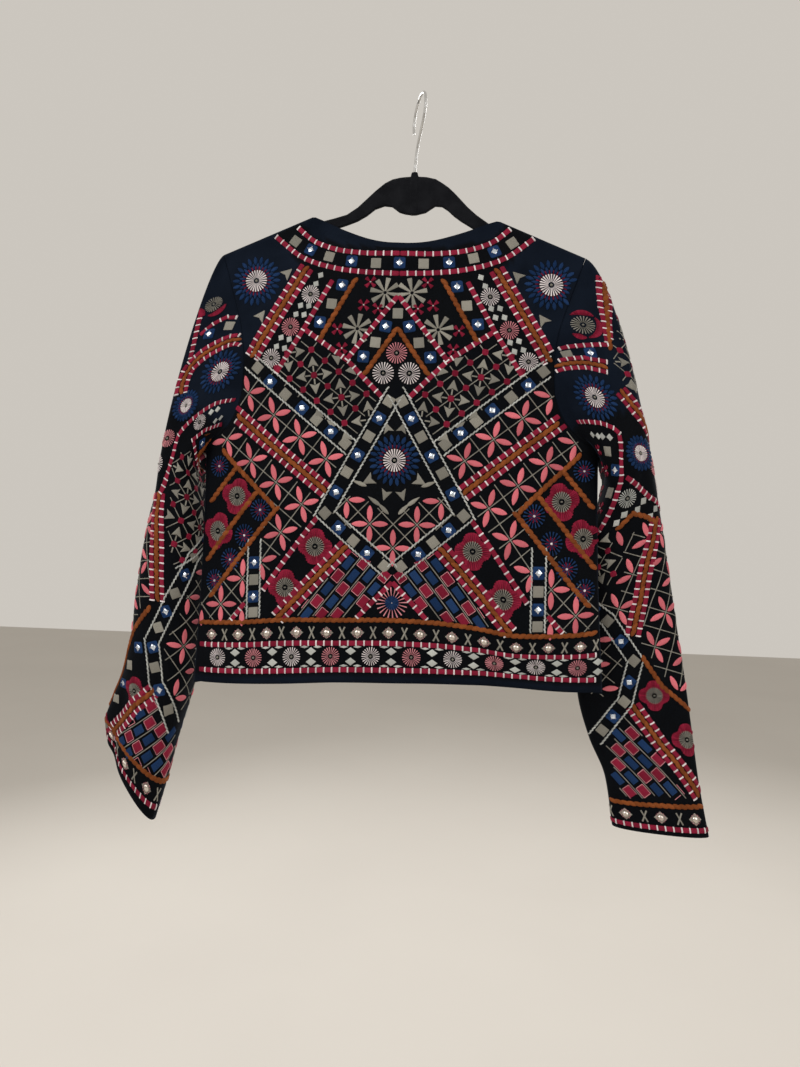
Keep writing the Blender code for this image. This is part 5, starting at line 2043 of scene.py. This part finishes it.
class StitchPlacer:
    """A Geometry Nodes tree that puts a motif on each laid-out place of the flat cloth."""

    def __init__(self) -> None:
        """Builds the motifs and the tree."""
        self.motifs = bpy.data.collections.new("motifs")
        for shape in MOTIF_SHAPES:
            self.motifs.objects.link(shape.build())
        self.tree = bpy.data.node_groups.new("stitch_placer", "GeometryNodeTree")
        face = self.tree.interface
        face.new_socket("Geometry", in_out="INPUT", socket_type="NodeSocketGeometry")
        self.motif_socket = face.new_socket("Motifs", in_out="INPUT", socket_type="NodeSocketCollection")
        self.height_socket = face.new_socket("Height Share", in_out="INPUT", socket_type="NodeSocketFloat")
        self.material_socket = face.new_socket("Thread", in_out="INPUT", socket_type="NodeSocketMaterial")
        face.new_socket("Geometry", in_out="OUTPUT", socket_type="NodeSocketGeometry")
        self._wire()

    def _read(self, name: str, kind: str) -> bpy.types.NodeSocket:
        """The output of a node that reads an attribute of the laid-out places."""
        node = self.tree.nodes.new("GeometryNodeInputNamedAttribute")
        node.data_type = kind
        node.inputs["Name"].default_value = name
        return node.outputs["Attribute"]

    def _wire(self) -> None:
        """Adds the tree's nodes and links."""
        nodes, link = self.tree.nodes, self.tree.links.new
        start = nodes.new("NodeGroupInput")
        pick = nodes.new("GeometryNodeCollectionInfo")
        pick.inputs["Separate Children"].default_value = True
        pick.inputs["Reset Children"].default_value = True
        link(start.outputs["Motifs"], pick.inputs["Collection"])
        turn = nodes.new("ShaderNodeCombineXYZ")
        link(self._read("turned", "FLOAT"), turn.inputs["Z"])
        aim = nodes.new("FunctionNodeEulerToRotation")
        link(turn.outputs[0], aim.inputs[0])
        size = nodes.new("ShaderNodeCombineXYZ")
        link(self._read("long", "FLOAT"), size.inputs["X"])
        link(self._read("wide", "FLOAT"), size.inputs["Y"])
        link(start.outputs["Height Share"], size.inputs["Z"])
        place = nodes.new("GeometryNodeInstanceOnPoints")
        place.inputs["Pick Instance"].default_value = True
        link(start.outputs["Geometry"], place.inputs["Points"])
        link(pick.outputs["Instances"], place.inputs["Instance"])
        link(self._read("motif", "INT"), place.inputs["Instance Index"])
        link(aim.outputs[0], place.inputs["Rotation"])
        link(size.outputs[0], place.inputs["Scale"])
        real = nodes.new("GeometryNodeRealizeInstances")
        link(place.outputs["Instances"], real.inputs["Geometry"])
        dress = nodes.new("GeometryNodeSetMaterial")
        link(real.outputs["Geometry"], dress.inputs["Geometry"])
        link(start.outputs["Thread"], dress.inputs["Material"])
        end = nodes.new("NodeGroupOutput")
        link(dress.outputs["Geometry"], end.inputs["Geometry"])

    def place(self, rows: np.ndarray, shades: np.ndarray, material: bpy.types.Material) -> bpy.types.Object:
        """Makes every stitch of one thread on the flat cloth.

        Args:
            rows: Rows of motif, x, y, angle, length and width.
            shades: A small change of shade for each row.
            material: The thread's material.

        Returns:
            An object with the stitches as one plain mesh.
        """
        mesh = bpy.data.meshes.new("laid_out")
        mesh.from_pydata([(x, y, 0.0) for x, y in rows[:, 1:3]], [], [])
        for name, kind, values in (
            ("motif", "INT", rows[:, 0].astype(np.int32)),
            ("turned", "FLOAT", rows[:, 3].astype(np.float32)),
            ("long", "FLOAT", rows[:, 4].astype(np.float32)),
            ("wide", "FLOAT", rows[:, 5].astype(np.float32)),
            ("shade", "FLOAT", shades.astype(np.float32)),
        ):
            mesh.attributes.new(name, kind, "POINT").data.foreach_set("value", values)
        guide = bpy.data.objects.new("laid_out", mesh)
        bpy.context.scene.collection.objects.link(guide)
        modifier = guide.modifiers.new("stitches", "NODES")
        modifier.node_group = self.tree
        modifier[self.motif_socket.identifier] = self.motifs
        modifier[self.height_socket.identifier] = 1.0
        modifier[self.material_socket.identifier] = material
        graph = bpy.context.evaluated_depsgraph_get()
        made = bpy.data.meshes.new_from_object(guide.evaluated_get(graph), depsgraph=graph)
        guide.modifiers.clear()
        bpy.data.objects.remove(guide)
        for name in ("motif", "turned", "long", "wide"):
            if name in made.attributes:
                made.attributes.remove(made.attributes[name])
        out = bpy.data.objects.new("worked", made)
        bpy.context.scene.collection.objects.link(out)
        return out

    def clear(self) -> None:
        """Removes the motifs once all the stitches are made."""
        for thing in list(self.motifs.objects):
            bpy.data.objects.remove(thing)
        bpy.data.collections.remove(self.motifs)


def joined(name: str, parts: list[bpy.types.Object]) -> bpy.types.Object:
    """Joins objects into one piece under a name."""
    with bpy.context.temp_override(
        active_object=parts[0], object=parts[0], selected_editable_objects=parts, selected_objects=parts
    ):
        bpy.ops.object.join()
    parts[0].name = name
    parts[0].data.name = name
    return parts[0]


def work(
    cloth: Panel | Sleeve, pattern: Pattern, placer: StitchPlacer, threads: dict[Thread, bpy.types.Material]
) -> bpy.types.Object:
    """Works a laid-out pattern on a piece of cloth.

    Args:
        cloth: The cloth.
        pattern: Its flat pattern.
        placer: The tree that makes the stitches.
        threads: The threads' materials.

    Returns:
        The embroidery as one piece that lies on the cloth.
    """
    chance = np.random.default_rng(pattern.seed)
    parts = []
    for thread in Thread:
        if thread not in pattern.rows:
            continue
        rows = np.concatenate(pattern.rows[thread])
        rows = rows[cloth.on_cloth(rows[:, 1:3], STITCH_INSET)]
        if not len(rows):
            continue
        thing = placer.place(rows, chance.uniform(-1.0, 1.0, len(rows)), threads[thread])
        flat = np.empty(len(thing.data.vertices) * 3, np.float32)
        thing.data.vertices.foreach_get("co", flat)
        flat = flat.reshape(-1, 3).astype(float)
        point, normal = cloth.worked(flat[:, :2])
        raised = point + normal * flat[:, 2:3]
        thing.data.vertices.foreach_set("co", raised.astype(np.float32).ravel())
        thing.data.update()
        parts.append(thing)
    piece = joined(f"{cloth.name}_embroidery", parts)
    piece.data.shade_smooth()
    piece.data.set_sharp_from_angle(angle=SHARP_ANGLE)
    return piece


class NodeSheet:
    """A short way to add nodes and links to a shader tree."""

    def __init__(self, tree: bpy.types.NodeTree):
        """Keeps the tree."""
        self.tree = tree

    def node(self, kind: str, **settings: object) -> bpy.types.Node:
        """A new node with some of its settings."""
        made = self.tree.nodes.new(kind)
        for name, value in settings.items():
            setattr(made, name, value)
        return made

    def feed(self, target: bpy.types.NodeSocket, value: object) -> None:
        """Links a socket, or sets a plain value, on a target socket."""
        if isinstance(value, bpy.types.NodeSocket):
            self.tree.links.new(value, target)
        else:
            target.default_value = value

    def math(self, operation: str, *values: object) -> bpy.types.NodeSocket:
        """The result of a Math node."""
        made = self.node("ShaderNodeMath", operation=operation)
        for socket, value in zip(made.inputs, values):
            self.feed(socket, value)
        return made.outputs[0]

    def mix(self, share: object, first: object, second: object) -> bpy.types.NodeSocket:
        """The result of mixing two colours."""
        made = self.node("ShaderNodeMix", data_type="RGBA")
        self.feed(made.inputs[0], share)
        self.feed(made.inputs[6], first)
        self.feed(made.inputs[7], second)
        return made.outputs[2]

    def noise(self, vector: object, scale: float, detail: float = 3.0) -> bpy.types.NodeSocket:
        """The value of a noise texture."""
        made = self.node("ShaderNodeTexNoise")
        self.feed(made.inputs["Vector"], vector)
        made.inputs["Scale"].default_value = scale
        made.inputs["Detail"].default_value = detail
        return made.outputs["Fac"]

    def span(
        self, value: object, low: float, high: float, to_low: float, to_high: float
    ) -> bpy.types.NodeSocket:
        """A value carried from one range to another."""
        made = self.node("ShaderNodeMapRange")
        for socket, number in zip(made.inputs, (value, low, high, to_low, to_high)):
            self.feed(socket, number)
        return made.outputs[0]


class Groups:
    """The shader groups that the materials share."""

    def __init__(self) -> None:
        """Builds the groups."""
        self.satin = self._satin()
        self.pile = self._pile()

    @staticmethod
    def _start(name: str, inputs: tuple[str, ...], outputs: tuple[str, ...]) -> tuple[NodeSheet, dict, dict]:
        """A new group with float inputs and outputs."""
        tree = bpy.data.node_groups.new(name, "ShaderNodeTree")
        for label in inputs:
            tree.interface.new_socket(label, in_out="INPUT", socket_type="NodeSocketFloat")
        for label in outputs:
            tree.interface.new_socket(label, in_out="OUTPUT", socket_type="NodeSocketFloat")
        start = tree.nodes.new("NodeGroupInput")
        end = tree.nodes.new("NodeGroupOutput")
        return NodeSheet(tree), start.outputs, end.inputs

    def _satin(self) -> bpy.types.NodeTree:
        """Threads that lie side by side across a stitch, with a little unevenness."""
        sheet, given, out = self._start("satin_threads", ("Pitch", "Unevenness"), ("Height", "Groove"))
        uv = sheet.node("ShaderNodeUVMap", uv_map="UVMap").outputs[0]
        split = sheet.node("ShaderNodeSeparateXYZ")
        sheet.feed(split.inputs[0], uv)
        waver = sheet.span(sheet.noise(uv, 900.0, 2.0), 0.0, 1.0, -0.5, 0.5)
        waver = sheet.math("MULTIPLY", waver, given["Unevenness"])
        turns = sheet.math("ADD", sheet.math("DIVIDE", split.outputs[0], given["Pitch"]), waver)
        wave = sheet.math("SINE", sheet.math("MULTIPLY", turns, 2 * math.pi))
        height = sheet.span(wave, -1.0, 1.0, 0.0, 1.0)
        sheet.feed(out["Height"], height)
        sheet.feed(out["Groove"], sheet.math("POWER", sheet.math("SUBTRACT", 1.0, height), 2.0))
        return sheet.tree

    def _pile(self) -> bpy.types.NodeTree:
        """Short pile, brushed in patches; the patches also mark where a painted sheen lightens the pile."""
        sheet, given, out = self._start("short_pile", ("Fineness", "Patch Size"), ("Height", "Brushed"))
        place = sheet.node("ShaderNodeTexCoord").outputs["Object"]
        fine = sheet.node("ShaderNodeTexNoise")
        sheet.feed(fine.inputs["Vector"], place)
        sheet.feed(fine.inputs["Scale"], given["Fineness"])
        fine.inputs["Detail"].default_value = 4.0
        wide = sheet.node("ShaderNodeTexNoise")
        sheet.feed(wide.inputs["Vector"], place)
        sheet.feed(wide.inputs["Scale"], sheet.math("DIVIDE", 1.0, given["Patch Size"]))
        wide.inputs["Detail"].default_value = 3.0
        wide.inputs["Distortion"].default_value = 0.6
        sheet.feed(out["Height"], fine.outputs["Fac"])
        sheet.feed(out["Brushed"], sheet.span(wide.outputs["Fac"], 0.35, 0.65, 0.0, 1.0))
        return sheet.tree


def new_material(name: str) -> tuple[bpy.types.Material, NodeSheet, bpy.types.Node]:
    """An empty material.

    Args:
        name: Its name.

    Returns:
        The material, its node sheet, and its Principled shader.
    """
    material = bpy.data.materials.new(name)
    material.use_nodes = True
    return material, NodeSheet(material.node_tree), material.node_tree.nodes["Principled BSDF"]


def bumped(
    sheet: NodeSheet, shader: bpy.types.Node, height: object, depth: float, strength: float
) -> None:
    """Feeds a height to a shader's normal through a Bump node."""
    bump = sheet.node("ShaderNodeBump")
    bump.inputs["Strength"].default_value = strength
    bump.inputs["Distance"].default_value = depth
    sheet.feed(bump.inputs["Height"], height)
    sheet.feed(shader.inputs["Normal"], bump.outputs[0])


@dataclass(frozen=True)
class ThreadFinish:
    """A shiny embroidery thread.

    Attributes:
        thread: Which thread.
        colour: Its colour.
        groove_shade: Its colour in the grooves between threads, darker as painted shade.
        pitch: How far apart its threads lie.
        roughness: How matt it is.
        shine: How strongly it reflects.
    """

    thread: Thread
    colour: Colour
    groove_shade: Colour
    pitch: float = 0.00062
    roughness: float = 0.52
    shine: float = 0.22

    def make(self, groups: Groups) -> bpy.types.Material:
        """The thread's material."""
        material, sheet, shader = new_material(self.thread.value)
        satin = sheet.node("ShaderNodeGroup", node_tree=groups.satin)
        satin.inputs["Pitch"].default_value = self.pitch
        satin.inputs["Unevenness"].default_value = 0.55
        shade = sheet.node("ShaderNodeAttribute", attribute_name="shade").outputs["Fac"]
        lit = tuple(min(1.0, value * 1.22 + 0.004) for value in self.colour)
        dim = tuple(value * 0.74 for value in self.colour)
        tone = sheet.mix(sheet.span(shade, -1.0, 1.0, 0.0, 1.0), (*dim, 1.0), (*lit, 1.0))
        # The grooves between threads are darkened in the colour: painted shade.
        colour = sheet.mix(sheet.math("MULTIPLY", satin.outputs["Groove"], 0.75), tone, (*self.groove_shade, 1.0))
        sheet.feed(shader.inputs["Base Color"], colour)
        rough = sheet.span(satin.outputs["Height"], 0.0, 1.0, self.roughness + 0.2, self.roughness)
        sheet.feed(shader.inputs["Roughness"], rough)
        shader.inputs["Specular IOR Level"].default_value = self.shine
        bumped(sheet, shader, satin.outputs["Height"], 0.00022, 0.9)
        return material


@dataclass(frozen=True)
class VelvetFinish:
    """Dark cotton velvet with a blue cast, and the blacker ground between close stitches; its lighter
    brushed patches and fibre tips are painted sheen.
    """

    name: str = "navy_velvet"
    navy: Colour = (0.0018, 0.0034, 0.0072)
    black: Colour = (0.0010, 0.0011, 0.0014)

    def make(self, groups: Groups) -> bpy.types.Material:
        """The velvet's material."""
        material, sheet, shader = new_material(self.name)
        pile = sheet.node("ShaderNodeGroup", node_tree=groups.pile)
        pile.inputs["Fineness"].default_value = 1500.0
        pile.inputs["Patch Size"].default_value = 0.055
        # Brushed patches mix in a lighter copy of the navy: a painted sheen of the pile.
        lit = tuple(value * 1.75 for value in self.navy)
        navy = sheet.mix(pile.outputs["Brushed"], (*self.navy, 1.0), (*lit, 1.0))
        ground = sheet.node("ShaderNodeAttribute", attribute_name="ground").outputs["Fac"]
        cloth = sheet.mix(ground, navy, (*self.black, 1.0))
        # Fibre tips, where the pile stands highest, are lighter: a painted highlight.
        fibre_tip_highlight = sheet.span(pile.outputs["Height"], 0.40, 0.75, 0.0, 0.22)
        sheet.feed(shader.inputs["Base Color"], sheet.mix(fibre_tip_highlight, cloth, (0.012, 0.018, 0.030, 1.0)))
        sheet.feed(shader.inputs["Roughness"], sheet.span(pile.outputs["Brushed"], 0.0, 1.0, 0.96, 0.84))
        shader.inputs["Sheen Weight"].default_value = 0.07
        shader.inputs["Sheen Roughness"].default_value = 0.32
        shader.inputs["Sheen Tint"].default_value = (0.25, 0.36, 0.60, 1.0)
        shader.inputs["Specular IOR Level"].default_value = 0.06
        bumped(sheet, shader, pile.outputs["Height"], 0.0006, 0.8)
        return material


@dataclass(frozen=True)
class MetalFinish:
    """A mirror or bare metal, clouded or worn in patches and a little uneven.

    Attributes:
        name: The material's name.
        first: Its colour in one kind of patch.
        second: Its colour in the other kind.
        patches: How fine the patches are.
        roughness: How matt each kind is.
        dents: How fine the unevenness is.
        depth: How deep it is.
        strength: How strongly it shows.
        detail: How ragged the patches are.
    """

    name: str
    first: Colour
    second: Colour
    patches: float
    roughness: tuple[float, float]
    dents: float
    depth: float
    strength: float
    detail: float = 3.0

    def make(self) -> bpy.types.Material:
        """The metal's material."""
        material, sheet, shader = new_material(self.name)
        place = sheet.node("ShaderNodeTexCoord").outputs["Object"]
        wear = sheet.noise(place, self.patches, self.detail)
        sheet.feed(shader.inputs["Base Color"], sheet.mix(wear, (*self.first, 1.0), (*self.second, 1.0)))
        sheet.feed(shader.inputs["Roughness"], sheet.span(wear, 0.3, 0.7, *self.roughness))
        shader.inputs["Metallic"].default_value = 1.0
        bumped(sheet, shader, sheet.noise(place, self.dents), self.depth, self.strength)
        return material


MIRROR = MetalFinish(
    "mirror", (0.62, 0.74, 0.92), (0.95, 0.98, 1.0), 420.0, (0.10, 0.30), 160.0, 0.0008, 0.7
)
SILVER = MetalFinish(
    "silver", (0.85, 0.80, 0.74), (0.42, 0.34, 0.28), 260.0, (0.14, 0.42), 260.0, 0.0003, 0.6
)
WIRE = MetalFinish(
    "plated_wire", (0.78, 0.78, 0.77), (0.50, 0.50, 0.50), 180.0, (0.14, 0.34), 1400.0, 0.00006, 0.5, 5.0
)


@dataclass(frozen=True)
class FlockFinish:
    """Black flocking on the hanger, lighter in patches and at its fibre tips, where painted sheen stands in
    for the light on its pile.
    """

    name: str = "black_flocking"

    def make(self, groups: Groups) -> bpy.types.Material:
        """The flocking's material."""
        material, sheet, shader = new_material(self.name)
        pile = sheet.node("ShaderNodeGroup", node_tree=groups.pile)
        pile.inputs["Fineness"].default_value = 2600.0
        pile.inputs["Patch Size"].default_value = 0.018
        # Patches of the pile are lighter: a painted sheen.
        sheen_patch = sheet.math("MULTIPLY", pile.outputs["Brushed"], 0.5)
        colour = sheet.mix(sheen_patch, (0.0028, 0.0030, 0.0040, 1.0), (0.0085, 0.0090, 0.0110, 1.0))
        # Fibre tips are lighter: a painted highlight.
        fibre_tip_highlight = sheet.span(pile.outputs["Height"], 0.45, 0.75, 0.0, 0.5)
        sheet.feed(shader.inputs["Base Color"], sheet.mix(fibre_tip_highlight, colour, (0.018, 0.019, 0.024, 1.0)))
        sheet.feed(shader.inputs["Roughness"], sheet.span(pile.outputs["Brushed"], 0.0, 1.0, 0.98, 0.88))
        shader.inputs["Sheen Weight"].default_value = 0.06
        shader.inputs["Sheen Roughness"].default_value = 0.40
        shader.inputs["Specular IOR Level"].default_value = 0.08
        bumped(sheet, shader, pile.outputs["Height"], 0.0005, 0.9)
        return material


THREAD_FINISHES = (
    ThreadFinish(Thread.GREY, (0.270, 0.255, 0.215), (0.070, 0.066, 0.056)),
    ThreadFinish(Thread.IVORY, (0.780, 0.720, 0.715), (0.260, 0.200, 0.210)),
    ThreadFinish(Thread.CRIMSON, (0.255, 0.008, 0.034), (0.055, 0.003, 0.009), shine=0.10),
    ThreadFinish(Thread.ORANGE, (0.250, 0.066, 0.013), (0.065, 0.014, 0.005), shine=0.10),
    ThreadFinish(Thread.PINK, (0.680, 0.165, 0.195), (0.300, 0.050, 0.070), shine=0.12),
    ThreadFinish(Thread.BLUE, (0.0095, 0.036, 0.112), (0.002, 0.008, 0.030), shine=0.07),
    ThreadFinish(Thread.MINT, (0.500, 0.510, 0.480), (0.170, 0.175, 0.165)),
    ThreadFinish(Thread.BLUSH, (0.700, 0.290, 0.320), (0.220, 0.030, 0.050)),
)


class Studio:
    """The camera, the soft lights, the pale floor and the pale surroundings."""

    def build(self) -> None:
        """Sets up everything that isn't part of the object."""
        self._camera()
        self._light("key", (-1.5, -1.9, 0.7), 42.0, 1.8)
        self._light("fill", (1.7, -1.6, 0.1), 22.0, 1.6)
        self._light("rim", (1.2, 1.9, 0.6), 34.0, 1.6)
        self._light("rear", (-1.5, 1.6, 0.2), 24.0, 1.6)
        self._floor()
        world = bpy.data.worlds.new("room")
        world.use_nodes = True
        back = world.node_tree.nodes["Background"]
        back.inputs["Color"].default_value = (0.80, 0.755, 0.69, 1.0)
        back.inputs["Strength"].default_value = 0.75
        bpy.context.scene.world = world
        bpy.context.scene.view_settings.view_transform = "Standard"

    @staticmethod
    def _camera() -> None:
        """The photograph's camera."""
        camera = bpy.data.cameras.new("camera")
        camera.lens = CAMERA_LENS
        camera.sensor_width = 36.0
        camera.clip_start = 0.02
        thing = bpy.data.objects.new("camera", camera)
        turned = Matrix((CAMERA_RIGHT, CAMERA_UP, [-value for value in CAMERA_AHEAD])).transposed()
        thing.matrix_world = Matrix.Translation(CAMERA_PLACE) @ turned.to_4x4()
        bpy.context.scene.collection.objects.link(thing)
        bpy.context.scene.camera = thing

    @staticmethod
    def _light(name: str, place: tuple[float, float, float], power: float, size: float) -> None:
        """A square soft light that points at the jacket's middle."""
        light = bpy.data.lights.new(name, "AREA")
        light.energy = power
        light.size = size
        thing = bpy.data.objects.new(name, light)
        thing.location = place
        aim = Vector((0.0, 0.0, -0.45)) - Vector(place)
        thing.rotation_euler = aim.to_track_quat("-Z", "Y").to_euler()
        bpy.context.scene.collection.objects.link(thing)

    @staticmethod
    def _floor() -> None:
        """A plain pale floor."""
        material, sheet, shader = new_material("pale_floor")
        place = sheet.node("ShaderNodeTexCoord").outputs["Object"]
        tone = sheet.mix(sheet.noise(place, 1.5), (0.52, 0.49, 0.45, 1.0), (0.57, 0.54, 0.495, 1.0))
        sheet.feed(shader.inputs["Base Color"], tone)
        shader.inputs["Roughness"].default_value = 0.8
        mesh = bpy.data.meshes.new("floor")
        ends = ((-1, -1), (1, -1), (1, 1), (-1, 1))
        corners = [(FLOOR_REACH * x, FLOOR_REACH * y, FLOOR_Z) for x, y in ends]
        mesh.from_pydata(corners, [], [(0, 1, 2, 3)])
        mesh.materials.append(material)
        floor = bpy.data.objects.new("floor", mesh)
        bpy.context.scene.collection.objects.link(floor)


@dataclass(frozen=True)
class Cut:
    """The flat cut of a piece of cloth: its rectangle, its area, and what it hangs from."""

    width: float
    length: float
    area: float
    hangs_from: tuple[str, ...]


class Jacket:
    """The jacket: five shells of velvet, each with its embroidery."""

    def __init__(self) -> None:
        """Cuts and drapes the cloth."""
        self.back = Panel("back", Face.BACK)
        self.right_front = Panel("right_front", Face.FRONT, Hand.RIGHT)
        self.left_front = Panel("left_front", Face.FRONT, Hand.LEFT)
        self.right_sleeve = Sleeve(
            "right_sleeve", Hand.RIGHT, RIGHT_SLEEVE, RIGHT_PLEATS, RIGHT_CAP_REACH,
            self.back, self.right_front,
        )
        self.left_sleeve = Sleeve(
            "left_sleeve", Hand.LEFT, LEFT_SLEEVE, LEFT_PLEATS, LEFT_CAP_REACH, self.back, self.left_front
        )

    def patterns(self) -> list[tuple[Panel | Sleeve, Pattern]]:
        """Each piece of cloth with its flat embroidery."""
        designs = [(self.back, BackDesign())]
        designs += [(front, FrontDesign(front)) for front in (self.right_front, self.left_front)]
        designs += [(sleeve, SleeveDesign(sleeve)) for sleeve in (self.right_sleeve, self.left_sleeve)]
        return [(cloth, design.laid_out()) for cloth, design in designs]

    def cloths(self) -> list[Panel | Sleeve]:
        """The five pieces of cloth."""
        return [self.back, self.right_front, self.left_front, self.right_sleeve, self.left_sleeve]

    def build(self, groups: Groups) -> None:
        velvet = VelvetFinish().make(groups)
        threads = {finish.thread: finish.make(groups) for finish in THREAD_FINISHES}
        threads[Thread.MIRROR] = MIRROR.make()
        threads[Thread.SILVER] = SILVER.make()
        placer = StitchPlacer()
        for cloth, pattern in self.patterns():
            piece = work(cloth, pattern, placer, threads)
            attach(piece, "root")
            triangles = sum(len(face.vertices) - 2 for face in piece.data.polygons)
            LOG.info("%s: %d triangles", piece.name, triangles)
        placer.clear()
        for cloth in self.cloths():
            shell = cloth.shell()
            piece = shell.build(cloth.dark(shell.flat))
            piece.name = f"{cloth.name}_cloth"
            piece.data.materials.append(velvet)
            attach(piece, "root")
            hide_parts(cloth.name)
            LOG.info("%s: %d points", piece.name, len(piece.data.vertices))


def dress_hanger(nodes: dict[str, bpy.types.Object], groups: Groups) -> None:
    """Gives the hanger and its hook their finishes.

    Args:
        nodes: The frame's nodes.
        groups: The shared shader groups.
    """
    for name, material in (("hanger_body", FlockFinish().make(groups)), ("hanger_hook", WIRE.make())):
        node = nodes[name]
        node.data.materials.clear()
        node.data.materials.append(material)
        LOG.info("%s: %s", name, material.name)


def main() -> None:
    """Dresses the jacket, its hanger and its hook, and sets up the studio."""
    logging.basicConfig(level=logging.INFO, format="%(message)s")
    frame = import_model()
    groups = Groups()
    Studio().build()
    Jacket().build(groups)
    dress_hanger(frame["nodes"], groups)


if __name__ == "__main__":
    main()
